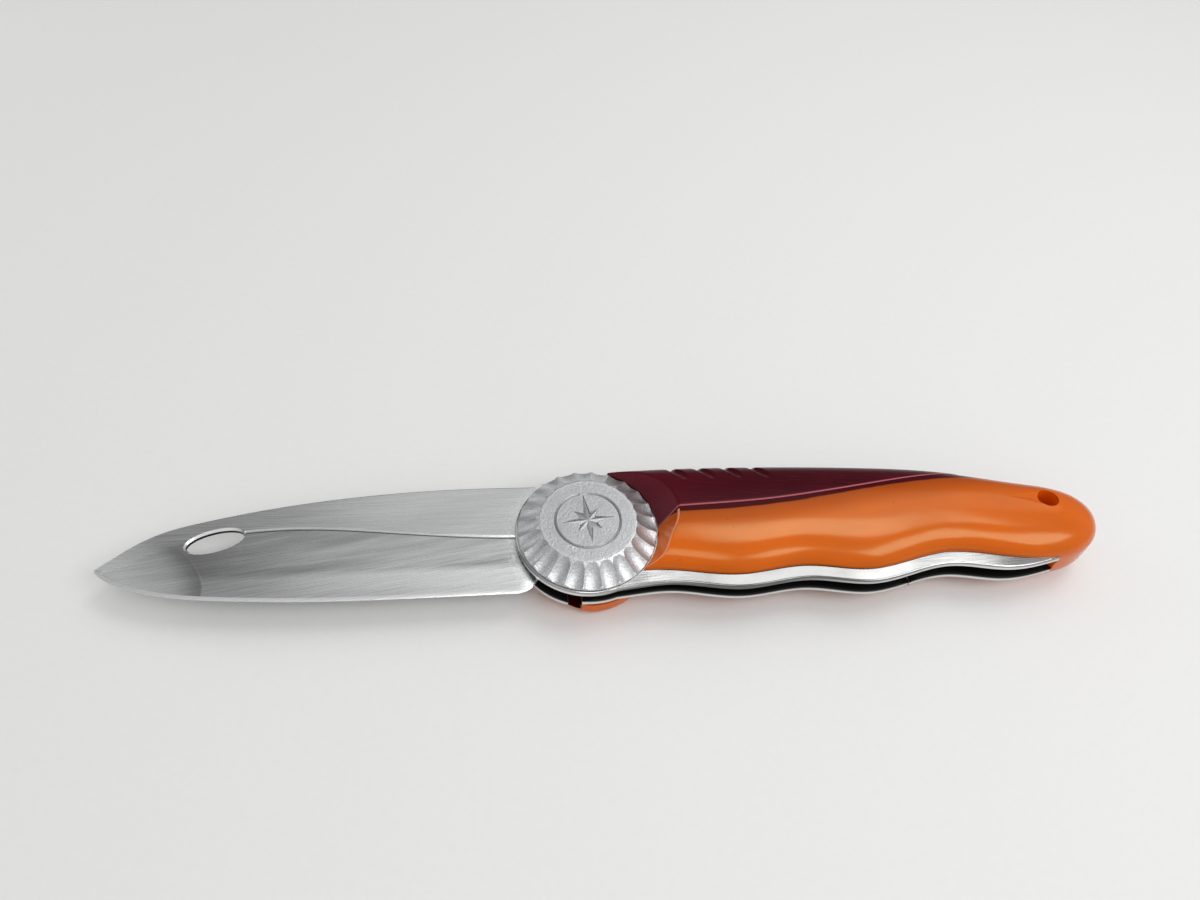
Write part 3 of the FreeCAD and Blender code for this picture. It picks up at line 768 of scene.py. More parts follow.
# Oval hole, and where the engraved line starts behind its middle
HOLE_CENTRE = (20.6 - BLADE_REACH, 2.0)
HOLE_TILT = 14.7
HOLE_CHAMFER = 0.45
GROOVE_START = (4.2, 5.4)
GROOVE_TONE_START = 5.3

# Tang, whose round back and stop lobe are spans of degrees round the pivot
TANG_OVERLAP = 0.25
TANG_R = 8.3
TANG_BACK = (96, -102)
TANG_TOP = (-1.2, 11.2)
TANG_BOTTOM = -8.0
STOP_R = 11.3
STOP_SPAN = (-100, -134)
DRIVE_GAP = 0.02


def blade_lines():
    """Spine, grind and edge heights along the blade."""
    lines = []
    for shares in (BLADE_SPINE, BLADE_GRIND, BLADE_EDGE):
        points = placed(shares, BLADE_REACH, BLADE_RISE, BLADE_DROP) * np.array([-1, 1])
        lines.append(Spline(points).heights())
    return lines


def stations():
    """Places along the blade, closer together round the heel and towards the tip."""
    heel = HEEL - HEEL_ROUND * (1 - np.sin(np.linspace(math.pi / 2, 0, 24)))
    rest = TIP + (heel[-1] - TIP) * (1 - np.linspace(0, 1, STATIONS)[1:]) ** 1.25
    return np.concatenate([heel, rest])


def rounded_edge(edge, x):
    """The cutting edge, turned up in a quarter circle at the heel."""
    past = np.clip((x - HEEL + HEEL_ROUND) / HEEL_ROUND, 0, 0.98)
    return edge(x) + HEEL_ROUND * (1 - np.sqrt(1 - past ** 2))


def half_thickness(x):
    """Half the blade's thickness above the grind, thinning to the tip and drawn to a point there."""
    thin = TIP_THIN + (1 - TIP_THIN) * (x - TIP) / (HEEL - TIP)
    start, end = POINT_RUN
    return BLADE_HALF * thin * (POINT_THIN + (1 - POINT_THIN) * smooth(x, TIP + start, TIP + end))


def blade_rows(sizes, x, spine, grind, edge):
    """Heights and half thicknesses across one side of the blade, from the spine to the edge."""
    half = half_thickness(x)
    top, low = spine(x), rounded_edge(edge, x)
    line = np.clip(grind(x), low + GRIND_ROOM[0] * (top - low), top - GRIND_ROOM[1] * (top - low))
    cut = smooth(x, HOLE_CENTRE[0] + GROOVE_START[0], HOLE_CENTRE[0] + GROOVE_START[1])
    depth = sizes.groove_depth / MM * cut
    wide = sizes.groove_width / MM / 2
    room = np.minimum(1, (top - line) / 1.2)
    ease = SPINE_EASE * room
    shoulder = low + np.minimum(BEVEL_HEIGHT, BEVEL_SHARE * (line - low))
    under = line - wide * room
    rows = [(top, half - ease), (top - 0.3 * ease, half - 0.3 * ease), (top - ease, half)]
    rows += [(line + wide * room, half), (line + 0.3 * wide * room, half - depth)]
    rows += [(line - 0.4 * wide * room, half - depth), (under, half - 0.02 * cut)]
    flank_start, flank_end = half - 0.02 * cut, BEVEL_HALF * half / BLADE_HALF
    for share in np.linspace(0, 1, 9)[1:]:
        bulge = FLANK_BULGE * 4 * share * (1 - share)
        flank = flank_start + (flank_end - flank_start) * share + bulge
        rows.append((under + (shoulder - under) * share, flank))
    rows.append((low + EDGE_LAND[0], EDGE_LAND[1] + 0 * x))
    rows.append((low, 0 * x))
    return rows


def tang_loop():
    """Flat outline round the pivot, with the stop lobe, under the liners' round end."""
    heel = HEEL - TANG_OVERLAP
    top = float(blade_lines()[0](heel)) - SPINE_EASE
    disc = polar(TANG_R, np.linspace(*np.radians(TANG_BACK), 40))
    lobe = polar(STOP_R, np.radians(np.linspace(*STOP_SPAN, 12)))
    return np.concatenate([[(heel, top), TANG_TOP], disc, lobe, [(heel, TANG_BOTTOM)]])


def dressed_blade(sizes):
    """The ground blade with its tang, less the oval hole and the square for the wheel's drive."""
    spine, grind, edge = blade_lines()
    x = stations()
    side = blade_rows(sizes, x, spine, grind, edge)
    solid = Solid()
    upper = [np.column_stack([x, y + 0 * x, z]) for y, z in side]
    lower = [np.column_stack([x, y + 0 * x, -z]) for y, z in side]
    rows = solid.grid(upper + lower[-2::-1] + upper[:1])
    for end in (0, -1):
        ring = [row[end] for row in rows[:-1]]
        solid.fan(ring[0], ring[1:])
    piece = solid.build("blade_steel")

    half = float(half_thickness(HOLE_CENTRE[0]))
    turn = Matrix.Rotation(math.radians(HOLE_TILT), 2)
    oval = np.array([sizes.hole_length / MM / 2, sizes.hole_width / MM / 2])
    unit = circle(1.0, 96)
    loops = []
    for z in (-CUT_REACH, -half + HOLE_CHAMFER, half - HOLE_CHAMFER, CUT_REACH):
        grown = oval + max(0.0, abs(z) - half + HOLE_CHAMFER)
        loops.append(level((unit * grown) @ np.array(turn).T + np.array(HOLE_CENTRE), z))
    combined(piece, stacked("oval", loops), "DIFFERENCE")
    combined(piece, straight("tang", tang_loop(), -BLADE_HALF, BLADE_HALF), "UNION")
    drive = straight("drive", (DRIVE_HALF + DRIVE_GAP) * SQUARE, -CUT_REACH, CUT_REACH)
    return combined(piece, drive, "DIFFERENCE")


class KNIFE_OT_blade(bpy.types.Operator):
    """Makes the blade with its oval hole, engraved line, ground flanks and tang"""

    bl_idname = "knife.blade"
    bl_label = "Blade"

    def execute(self, context):
        settings = context.scene.knife
        piece = dressed_blade(settings.sizes)
        points = millimetres(piece)
        _, grind, edge = blade_lines()
        x, y = points[:, 0], points[:, 1]
        low, line = rounded_edge(edge, x), grind(x)
        mark(piece, "flank", smooth(line - y, 0.0, 0.4))
        # Points of the engraved line: the upper wall gets a painted highlight, the lower wall painted shade
        sunk = (np.abs(y - line) < 0.5) & (x > HOLE_CENTRE[0] + GROOVE_TONE_START)
        sunk &= np.abs(points[:, 2]) < half_thickness(x) - 0.08
        mark(piece, "pale", sunk & (y > line))
        mark(piece, "groove", sunk & (y < line))
        # Height within the edge bevel, for its painted highlight
        bevel = np.minimum(BEVEL_HEIGHT, BEVEL_SHARE * np.maximum(line - low, 0.1))
        mark(piece, "rise", np.clip((y - low) / bevel, 0, 3))
        steel = brushed_blade_steel(settings.colours, settings.sizes)
        finished(piece, steel, "blade", "blade", 20)
        return {"FINISHED"}


# Wheel

RIM_WALL = 0.7
SCOOP_R = 2.6
SCOOP_MIDDLE = 0.3
SCOOP_HALF = 3.6
FLUTE_COLUMNS = 16
FLUTE_ROWS = 44
FACE_MARGIN = 0.75
HUB_R = 4.5
DRIVE_HALF = 3.0
BORE_R = 1.5
BORE_DEPTH = 5.0
RING_HALF = 0.3
RING_DEPTH = 0.3
RING_GAP = 7.0
STAR_DEPTH = 0.34
STAR_TIP_DEPTH = 0.12
STAR_LONG = [0.96, 0.8, 0.82, 0.8]
STAR_SHORT = 0.52
STAR_NOTCH = 0.27
STAR_TURN = 6.0

# Kinds of tree inputs that aren't lengths
INPUT_KINDS = {int: "NodeSocketInt", bpy.types.Material: "NodeSocketMaterial"}


def new_tree(name, values):
    """An empty geometry tree with an input for each value: a count, a material or else a length."""
    tree = bpy.data.node_groups.new(name, "GeometryNodeTree")
    tree.interface.new_socket("Geometry", in_out="INPUT", socket_type="NodeSocketGeometry")
    for label, value in values.items():
        kind = INPUT_KINDS.get(type(value), "NodeSocketFloat")
        tree.interface.new_socket(label, in_out="INPUT", socket_type=kind)
    tree.interface.new_socket("Geometry", in_out="OUTPUT", socket_type="NodeSocketGeometry")
    return tree, tree.nodes.new("NodeGroupInput").outputs, tree.nodes.new("NodeGroupOutput").inputs


def painted_copies(s, given, output, points, instance, **turn):
    """Ends a tree with a copy on each point, made real and given the material."""
    copies = s.node("GeometryNodeInstanceOnPoints", Points=points, Instance=instance, **turn)
    real = s.node("GeometryNodeRealizeInstances", Geometry=copies.outputs[0])
    paint = s.node("GeometryNodeSetMaterial", Geometry=real.outputs[0], Material=given["Material"])
    s.put(output[0], paint.outputs[0])


def set_inputs(piece, tree, values):
    """Puts a tree on a piece and sets its inputs by their identifiers."""
    modifier = piece.modifiers.new(tree.name, "NODES")
    modifier.node_group = tree
    for item in tree.interface.items_tree:
        if item.in_out == "INPUT" and item.name in values:
            modifier[item.identifier] = values[item.name]


def fluted_rim_tree(values):
    """One scoop on a grid, bent by formula and repeated round the wheel."""
    tree, given, output = new_tree("Fluted rim", values)
    s = Steps(tree)
    grid = s.node("GeometryNodeMeshGrid", Vertices_X=FLUTE_COLUMNS + 1, Vertices_Y=FLUTE_ROWS + 1)
    at = s.parts(s.node("GeometryNodeInputPosition").outputs[0])

    run, rise = s.minus(given["Rim Radius"], given["Face Radius"]), given["Slope Height"]
    slope = s.math("SQRT", s.plus(s.times(run, run), s.times(rise, rise)))
    sine, cosine = s.over(rise, slope), s.over(run, slope)
    start = s.times(s.times(given["Rim Wall"], sine), -1.0)
    end = s.plus(slope, s.times(given["Face Margin"], cosine))
    along = s.blend(s.plus(at["Y"], 0.5), start, end)
    wall = s.times(along, s.over(cosine, sine))
    face = s.times(s.minus(slope, along), s.over(sine, cosine))
    base = s.math("MINIMUM", s.math("MINIMUM", wall, face), 0.0)

    step = s.over(2 * math.pi, given["Flutes"])
    angle = s.times(at["X"], step)
    middle = s.times(slope, given["Scoop Middle"])
    share = s.over(s.minus(along, middle), given["Scoop Half Length"])
    clear = s.minus(given["Scoop Radius"], given["Scoop Depth"])
    belly = s.minus(given["Scoop Radius"], s.times(given["Scoop Depth"], s.times(share, share)))

    def radius_at(out):
        return s.plus(s.minus(given["Rim Radius"], s.times(along, cosine)), s.times(out, sine))

    aside = s.times(radius_at(base), s.math("SINE", angle))
    chord = s.minus(s.times(belly, belly), s.times(aside, aside))
    floor = s.minus(clear, s.math("SQRT", s.math("MAXIMUM", chord, 0.0)))
    out = s.math("MINIMUM", base, floor)
    radius = radius_at(out)
    height = s.plus(s.plus(given["Rim Wall"], s.times(along, sine)), s.times(out, cosine))
    place = s.node("ShaderNodeCombineXYZ", X=s.times(radius, s.math("COSINE", angle)),
                   Y=s.times(radius, s.math("SINE", angle)), Z=height)
    bent = s.node("GeometryNodeSetPosition", Geometry=grid.outputs["Mesh"], Position=place.outputs[0])

    points = s.node("GeometryNodePoints", Count=given["Flutes"])
    turn = s.node("ShaderNodeCombineXYZ", Z=s.times(s.node("GeometryNodeInputIndex").outputs[0], step))
    painted_copies(s, given, output, points.outputs[0], bent.outputs[0], Rotation=turn.outputs[0])
    return tree


def fluted_rim(sizes, material):
    """Points and faces of the wheel's fluted rim, in millimetres above its underside."""
    piece = linked("rim", bpy.data.meshes.new("rim"))
    rim = {"Flutes": sizes.flutes, "Rim Radius": WHEEL_R, "Face Radius": sizes.face_radius / MM,
           "Slope Height": WHEEL_TOP - WHEEL_BOTTOM - RIM_WALL, "Rim Wall": RIM_WALL,
           "Face Margin": FACE_MARGIN, "Scoop Radius": SCOOP_R, "Scoop Depth": sizes.flute_depth / MM,
           "Scoop Middle": SCOOP_MIDDLE, "Scoop Half Length": SCOOP_HALF, "Material": material}
    set_inputs(piece, fluted_rim_tree(rim), rim)
    baked(piece)
    points = coordinates(piece).astype(float)
    faces = [tuple(face.vertices) for face in piece.data.polygons]
    dropped(piece)
    return points, faces


def star_loop(reach):
    """Tips and notches of the eight-pointed star, from its longest point round."""
    loop = []
    for index in range(8):
        turn = math.radians(90 + STAR_TURN - 45 * index)
        tip = reach * (STAR_LONG[index // 2] if index % 2 == 0 else STAR_SHORT)
        notch = turn - math.radians(22.5)
        loop.append((tip * math.cos(turn), tip * math.sin(turn)))
        loop.append((reach * STAR_NOTCH * math.cos(notch), reach * STAR_NOTCH * math.sin(notch)))
    return np.array(loop)


def wheel_face(solid, rim_loop, sizes):
    """The flat face with its ring and its star, whose facets fall from the points to the notches."""
    ring = sizes.ring_radius / MM
    outline = star_loop(ring)
    star = solid.add(level(outline, WHEEL_TOP))
    depth = np.array([STAR_TIP_DEPTH, STAR_DEPTH] * 8)
    sunk = solid.add(np.column_stack([outline, WHEEL_TOP - depth]))
    middle = solid.add([(0, 0, WHEEL_TOP - 0.02)])[0]
    for index in range(16):
        after = (index + 1) % 16
        solid.faces.append((middle, sunk[index], sunk[after]))
        solid.faces.append((sunk[index], star[index], star[after], sunk[after]))

    gap = math.radians(RING_GAP)
    north = math.radians(90 + STAR_TURN)
    turn = np.linspace(north + gap, north + 2 * math.pi - gap, 150)
    arcs = []
    for radius, z in ((ring - RING_HALF, 0), (ring, RING_DEPTH), (ring + RING_HALF, 0)):
        arcs.append(polar(radius, turn, 0 * turn + WHEEL_TOP - z))
    inner, bottom, outer = solid.grid(arcs)
    ends = []
    for end, side in ((0, -1), (-1, 1)):
        angle = turn[end] + side * RING_HALF / ring
        ends += solid.add([(ring * math.cos(angle), ring * math.sin(angle), WHEEL_TOP)])
        solid.faces.append((ends[-1], inner[end], bottom[end]))
        solid.faces.append((ends[-1], bottom[end], outer[end]))
    solid.cap(rim_loop, inner + [ends[1]] + outer[::-1] + [ends[0]], star)


def dressed_wheel(sizes, material):
    """The fluted rim closed by the face above and by the hub, the square drive and its bore below."""
    points, faces = fluted_rim(sizes, material)
    solid = Solid()
    solid.add(points + np.array([0, 0, WHEEL_BOTTOM]))
    solid.faces.extend(faces)

    rows = FLUTE_ROWS + 1
    columns = FLUTE_COLUMNS + 1
    low, high = [], []
    for flute in range(sizes.flutes):
        start = flute * rows * columns
        low += [start + column * rows for column in range(columns - 1)]
        high += [start + column * rows + rows - 1 for column in range(columns - 1)]
    wheel_face(solid, high, sizes)

    hub = circle(HUB_R, 64)
    hub_rows = solid.grid([level(hub, WHEEL_BOTTOM), level(hub, BLADE_HALF)], wrap=True)
    solid.cap(low, hub_rows[0])
    square = DRIVE_HALF * SQUARE
    drive = solid.grid([level(square, BLADE_HALF), level(square, DRIVE_END)], wrap=True)
    solid.cap(hub_rows[1], drive[0])
    bore = circle(BORE_R, 48)
    bore_rows = solid.grid([level(bore, DRIVE_END), level(bore, DRIVE_END + BORE_DEPTH)], wrap=True)
    solid.cap(drive[1], bore_rows[0])
    solid.cap(bore_rows[1])
    return solid.build("fluted_thumb_wheel")


class KNIFE_OT_thumb_wheel(bpy.types.Operator):
    """Makes the fluted thumb wheel with its ring, star, hub and square drive"""

    bl_idname = "knife.thumb_wheel"
    bl_label = "Thumb wheel"

    def execute(self, context):
        settings = context.scene.knife
        material = blasted_wheel_metal(settings.colours, settings.sizes)
        piece = dressed_wheel(settings.sizes, material)
        points = millimetres(piece)
        # Sunk points of the ring and the star, for their painted shade
        near = np.hypot(points[:, 0], points[:, 1]) < settings.sizes.face_radius / MM - FACE_MARGIN - 0.2
        sunk = near & (points[:, 2] > WHEEL_BOTTOM) & (points[:, 2] < WHEEL_TOP - 0.06)
        ring = np.hypot(points[:, 0], points[:, 1]) > settings.sizes.ring_radius / MM - 0.05
        mark(piece, "carved", np.where(sunk & ring, 0.5, np.where(sunk, 0.1, 0.0)))
        finished(piece, material, "thumb_wheel", "blade", 38)
        return {"FINISHED"}


# Liners and lock leaf

SCREW_HEAD_R = 1.6
PIN_PLACE = (1.07, 10.14)
PIN_R = 1.5
BUSH_R = 5.5
SCREW_BUSH_R = 3.5
CORNER_EASE = 0.2
SHARP_TURN = math.radians(30)


def tail_circle():
    """Centre and radius of the round cut at the liners' tail."""
    (ax, ay), (bx, by), (cx, cy) = placed(TAIL_ARC)
    d = 2 * (ax * (by - cy) + bx * (cy - ay) + cx * (ay - by))
    a, b, c = ax ** 2 + ay ** 2, bx ** 2 + by ** 2, cx ** 2 + cy ** 2
    centre = np.array([(a * (by - cy) + b * (cy - ay) + c * (ay - by)) / d,
                       (a * (cx - bx) + b * (ax - cx) + c * (bx - ax)) / d])
    return centre, float(np.hypot(*(centre - (ax, ay))))


def tail_arc(first, last, count):
    """Points on the round cut at the liners' tail, from beside one point to beside another."""
    centre, radius = tail_circle()
    ends = [math.atan2(*(point - centre)[::-1]) % (2 * math.pi) for point in (first, last)]
    return centre + polar(radius, np.linspace(*ends, count))


def liner_loop():
    """The liners' outline, clockwise: spine, tail, wavy finger edge and the round end under the wheel."""
    toe, end, start = placed(FRONT_LINE)
    knots = [start, *placed(SPINE_LINE + BUTT_LINE + FINGER_LINE), toe, end]
    line = Spline(knots).sample(1100)
    centre, radius = tail_circle()
    kept = (np.hypot(line[:, 0], line[:, 1]) > DISC_R) & (np.hypot(*(line - centre).T) > radius)
    middle = int(np.argmax(line[:, 0]))
    upper, lower = line[:middle][kept[:middle]], line[middle:][kept[middle:]]
    tail = tail_arc(upper[-1], lower[0], 50)[1:-1]
    first, last = math.atan2(*upper[0][::-1]), math.atan2(*lower[-1][::-1])
    turn = np.linspace(last, first - 2 * math.pi, 220)[1:-1]
    disc = polar(DISC_R, turn)
    return np.concatenate([upper, tail, lower, disc]), len(upper) + len(tail), len(lower)


def even(loop, step=0.3):
    """A closed loop with points at even steps."""
    ends = np.concatenate([loop, loop[:1]])
    along = np.concatenate([[0], np.cumsum(np.hypot(*np.diff(ends, axis=0).T))])
    places = np.linspace(0, along[-1], int(along[-1] / step), endpoint=False)
    return np.column_stack([np.interp(places, along, ends[:, 0]), np.interp(places, along, ends[:, 1])])


def corner_gaps(loop):
    """How far each point of an even loop lies from the nearest sharp corner."""
    step = float(np.hypot(*(loop[1] - loop[0])))
    back, ahead = loop - np.roll(loop, 2, axis=0), np.roll(loop, -2, axis=0) - loop
    cross = back[:, 0] * ahead[:, 1] - back[:, 1] * ahead[:, 0]
    turn = np.abs(np.arctan2(cross, (back * ahead).sum(1)))
    corners = np.flatnonzero(turn > SHARP_TURN)
    if len(corners) == 0:
        return np.full(len(loop), np.inf)
    apart = np.abs(np.arange(len(loop))[:, None] - corners[None, :])
    return step * np.minimum(apart, len(loop) - apart).min(1)


def drawn_in(loop, amount):
    """A clockwise even loop moved inwards, less so towards its sharp corners."""
    ahead = np.roll(loop, -1, axis=0) - np.roll(loop, 1, axis=0)
    ahead /= np.maximum(np.hypot(*ahead.T), 1e-9)[:, None]
    inwards = np.column_stack([ahead[:, 1], -ahead[:, 0]])
    return loop + inwards * np.minimum(amount, CORNER_EASE * corner_gaps(loop))[:, None]


def rounded_plate(name, loop, low, high, edge, holes=()):
    """A flat plate with rounded edges and straight holes."""
    quarter = np.radians(np.linspace(0, 90, 6))
    steps = [(edge * (1 - math.sin(turn)), low + edge * (1 - math.cos(turn))) for turn in quarter]
    steps += [(inset, low + high - z) for inset, z in reversed(steps)]
    solid = Solid()
    rows = solid.grid([level(drawn_in(loop, inset), z) for inset, z in steps], wrap=True)
    pairs = [solid.grid([level(hole, low), level(hole, high)], wrap=True) for hole in holes]
    solid.cap(rows[0], *[pair[0] for pair in pairs])
    solid.cap(rows[-1], *[pair[1] for pair in pairs])
    piece = solid.build(name)
    height = np.abs(millimetres(piece)[:, 2])
    # Marks for the painted shade inside the slot, and for the side edges, which get painted highlight or shade
    mark(piece, "dull", smooth(LINER_IN + edge - height, 0.0, 0.7 * edge))
    mark(piece, "side", smooth(LINER_OUT - 0.6 * edge - height, 0.0, 0.5 * edge))
    return piece


def liner_holes(bush):
    """Holes for a bush, the stop pin and the screws."""
    holes = [circle(bush, 72), circle(PIN_R, 36, PIN_PLACE)]
    holes += [circle(SCREW_HEAD_R, 36, place) for place in placed(SCREW_PLACES)]
    return holes


def leaf_parts():
    """The leaf's loop, and the rear liner's loop with the window that frees the leaf."""
    loop, start, count = liner_loop()
    before, lower, after = loop[:start], loop[start:start + count], loop[start + count:]
    edge = np.array(LEAF_EDGE)
    end, root = edge[0], edge[-1]
    rest = np.concatenate([lower, after])
    under = (rest[:, 0] < root[0]) & (rest[:, 0] > end[0] - 0.1) & (rest[:, 1] < LEAF_BELOW)
    leaf = np.concatenate([edge, rest[under]])

    lift = np.array([0, LEAF_CUT])
    front = end - np.array([LOCK_WINDOW, 0])
    corner = np.array([LEAF_ROOT, edge[-1][1]]) + lift
    window = np.array([corner, *(edge[-2::-1] + lift), front + lift])
    right = lower[lower[:, 0] > LEAF_ROOT]
    left = rest[(rest[:, 0] < front[0] - 0.1) | (rest[:, 1] > LEAF_BELOW) & (rest[:, 0] < 0)]
    return leaf, np.concatenate([before, right, window, left])


def sprung(piece):
    """Turns the leaf in from its root, as the lock holds the open blade."""
    root = Vector((LEAF_ROOT * MM, 0, joints["lock_flex"]["pos_m"][2]))
    turn = Matrix.Rotation(math.radians(LOCK_ANGLE), 4, "Y")
    piece.data.transform(Matrix.Translation(root) @ turn @ Matrix.Translation(-root))
    return piece


class KNIFE_OT_liners(bpy.types.Operator):
    """Makes both liners and the lock leaf with rounded, polished edges"""

    bl_idname = "knife.liners"
    bl_label = "Liners and lock leaf"

    def execute(self, context):
        settings = context.scene.knife
        steel = polished_liner_steel(settings.colours)
        edge = settings.sizes.liner_round / MM
        whole = even(liner_loop()[0])
        piece = rounded_plate("front_liner_plate", whole, LINER_IN, LINER_OUT, edge, liner_holes(BUSH_R))
        finished(piece, steel, "front_liner", "handle", 30)
        leaf, rear = (even(loop) for loop in leaf_parts())
        holes = liner_holes(SCREW_BUSH_R)
        piece = rounded_plate("rear_liner_plate", rear, -LINER_OUT, -LINER_IN, edge, holes)
        finished(piece, steel, "rear_liner", "handle", 30)
        piece = sprung(rounded_plate("lock_leaf_plate", leaf, -LINER_OUT, -LINER_IN, edge))
        finished(piece, steel, "lock_leaf", "lock", 30)
        return {"FINISHED"}


# Handle halves and grips

SIDE_WALL = 1.5
CROWN_POWER = 2.6
BUTT_LENGTH = 10.38
ALONG = 240
ACROSS = 46

# Seam between a half and its liner
SEAM_INSET = 0.16
SEAM_TOP = 3.0
SEAM_HEIGHT = 0.25
SEAM_FADE = (84, 92)
SEAM_LEVELS = [1.5, 2.2, 2.6, 2.7, 2.78, 2.84, 2.92, 3.0, 3.2]

# Well beside the wheel, and the facet in it that is drawn in below the ridge
RECESS_LIP = LINER_OUT + 0.65
RECESS_SLOPE = 42.0
RECESS_GAP = 0.25
CONE_ROWS = 14
FACET_SHEAR = math.radians(-8)
FACET_DRAWN_IN = 0.36
FACET_MIDDLE = math.radians(-16)
FACET_SPREAD = math.radians(13)
WELL_SEARCH_END = 40.0

# Rear boss. Its profile starts and ends at a tiny radius round the axis.
BOSS_R = WHEEL_R
BOSS_ROUND = 2.4
BOSS_DRAWN_IN = 0.75
BOSS_SINK = 0.2
BOSS_ROOM_R = 5.4
BOSS_ROOM_TOP = 4.5
BOSS_AXIS_R = 1e-4

# Ridge of the grips, and the path of a thumb groove: along, inwards from the spine, and up
RIDGE_EDGE = [0.0, 0.05, 0.12, 0.25]
RIDGE_FALL = [0.11, 0.035, 0.008, 0.0]
GROOVE_FIRST = 16.8
GROOVE_PITCH = 5.5
GROOVE_R = 1.3
GROOVE_PATH = [(-1.7, -0.9, 0.0), (0.0, -0.9, 2.75), (0.9, 0.55, 5.3), (3.4, 4.7, 7.9)]

# Room for the liners and the folded tip. The first two lengths lie well outside the knife.
OUTSIDE = 200
SLOT_BELOW = -30
TIP_CEILING = ((80.0, 4.8), (92.5, -2.7))
TIP_CLEAR = 1.2

# Lanyard hole and the teardrop in front of it
LANYARD_R = mounts["lanyard_hole"]["dims"]["r_mm"]
LANYARD_PLACE = [value / MM for value in mounts["lanyard_hole"]["pos_m"][:2]]
LANYARD_SEAT = mounts["lanyard_hole"]["dims"]["length_mm"] / 2
LANYARD_FLARE = 0.6
TEAR_LENGTH = 8.4
TEAR_RISE = 0.9
TEAR_HALF = 1.9
TEAR_DEPTH = 0.5


class Crown:
    """A handle half: its outline drawn in towards the crest line as the level rises."""

    def __init__(self, show):
        points = list(placed(SPINE_LINE + BUTT_LINE))
        points += [point + np.array([0, show]) for point in placed(FINGER_LINE)]
        points.append(np.array([points[0][0], points[-1][1] - show / 4]))
        line = Spline(points).sample(4000)
        turn = int(np.argmax(line[:, 0]))
        self.top, self.low = line[:turn + 1], line[turn:][::-1]
        self.dome = HANDLE_REACH - BUTT_LENGTH
        self.ridge = Spline(placed(RIDGE_LINE)).heights()
        below, above = (side[side[:, 0] > self.dome] for side in (self.low, self.top))
        self.butt = np.concatenate([below, above[::-1]])[::8]
        self.full = CROWN_TOP - SIDE_WALL

    def crest(self, x):
        (turn, high), (end, low) = CREST_LINE
        fall = np.maximum(0, (x / HANDLE_REACH - turn) / (end - turn))
        return HANDLE_RISE * (high + (low - high) * fall)

    def upper(self, x):
        return np.interp(x, self.top[:, 0], self.top[:, 1])

    def lower(self, x):
        return np.interp(x, self.low[:, 0], self.low[:, 1])

    def ridge_share(self, x):
        crest = self.crest(x)
        share = (self.ridge(x) - crest) / (self.upper(x) - crest)
        return np.clip(share, 0.02, 1)

    def level(self, share, proud=0.0):
        share = np.clip(share, 0, 1)
        return SIDE_WALL + (self.full + proud) * (1 - share ** CROWN_POWER) ** (1 / CROWN_POWER)

    def share_at(self, z):
        return (1 - ((z - SIDE_WALL) / self.full) ** CROWN_POWER) ** (1 / CROWN_POWER)

    def inset(self, x, z):
        """The small rounding where a half meets its liner, fading out at the butt."""
        return SEAM_INSET * np.clip((SEAM_TOP - z) / SEAM_HEIGHT, 0, 1) ** 2 * (1 - smooth(x, *SEAM_FADE))

    def low_point(self, x, share):
        crest, out = self.crest(x), self.lower(x)
        z = self.level(share)
        return np.stack([x, crest + (out - crest) * share + self.inset(x, z), z + 0 * x], -1)

    def high_point(self, x, share):
        crest, out = self.crest(x), self.upper(x)
        drawn = share * self.ridge_share(x)
        return np.stack([x, crest + (out - crest) * drawn, self.level(drawn)], -1)

    def grip_point(self, x, step, proud):
        """A point on the grip, by its row: first rows in millimetres from the ridge, the rest as shares."""
        crest, out, start = self.crest(x), self.upper(x), self.ridge_share(x)
        width = (1 - start) * (out - crest)
        fixed, share, fall = step
        near = np.minimum(1, width / 1.0)
        aside = fixed * near + (width - RIDGE_EDGE[-1] * near) * share
        drawn = start + aside / (out - crest)
        z = self.level(drawn, proud) - fall * near
        return np.stack([x, crest + (out - crest) * drawn, np.minimum(z, CROWN_TOP + proud) + 0 * x], -1)

    def ridge_end(self):
        x = np.linspace(60, self.dome, 3000)
        return float(x[np.argmax(self.ridge(x) > self.upper(x) - 0.01)])


def front_well(z, turn):
    """Radius of the well beside the wheel: straight, then a cone, which is drawn in below the ridge."""
    steeper = 1 - FACET_DRAWN_IN * np.exp(-((turn - FACET_MIDDLE) / FACET_SPREAD) ** 2)
    opening = np.maximum(0, z - RECESS_LIP) / math.tan(math.radians(RECESS_SLOPE))
    return WHEEL_R + RECESS_GAP + opening * steeper


def rear_well(z, turn):
    """Radius at which the rear half meets its round boss, the same all round."""
    return BOSS_R - BOSS_SINK + 0 * z


def start_of(point, well):
    """The x at which a row of the crown meets the well."""
    low, high = HANDLE_REACH * SPINE_LINE[0][0], WELL_SEARCH_END
    for _ in range(40):
        x = (low + high) / 2
        found = point(np.array(x))
        within = math.hypot(found[0], found[1]) < well(found[2], math.atan2(found[1], found[0]))
        low, high = (x, high) if within else (low, x)
    return high


def well_wall(solid, edge, well, first, last):
    """The wall of the well below an edge, turned a little from its first to its last column."""
    angle = np.arctan2(edge[:, 1], edge[:, 0])
    share = (angle - angle[0]) / (angle[-1] - angle[0])
    shear = (first + (last - first) * share) * (well is front_well)
    low = np.minimum(edge[:, 2], RECESS_LIP)
    rows = [edge]
    for down in np.linspace(0, 1, CONE_ROWS)[1:]:
        z = edge[:, 2] + (low - edge[:, 2]) * down
        turn = angle + shear * down
        radius = well(z, turn)
        rows.append(polar(radius, turn, z))
    foot = np.linspace(angle[0] + shear[0], angle[-1] + shear[-1], len(angle))
    radius = well(0 * foot, foot)
    rows.append(polar(radius, foot, 0 * foot))
    return solid.grid(rows)


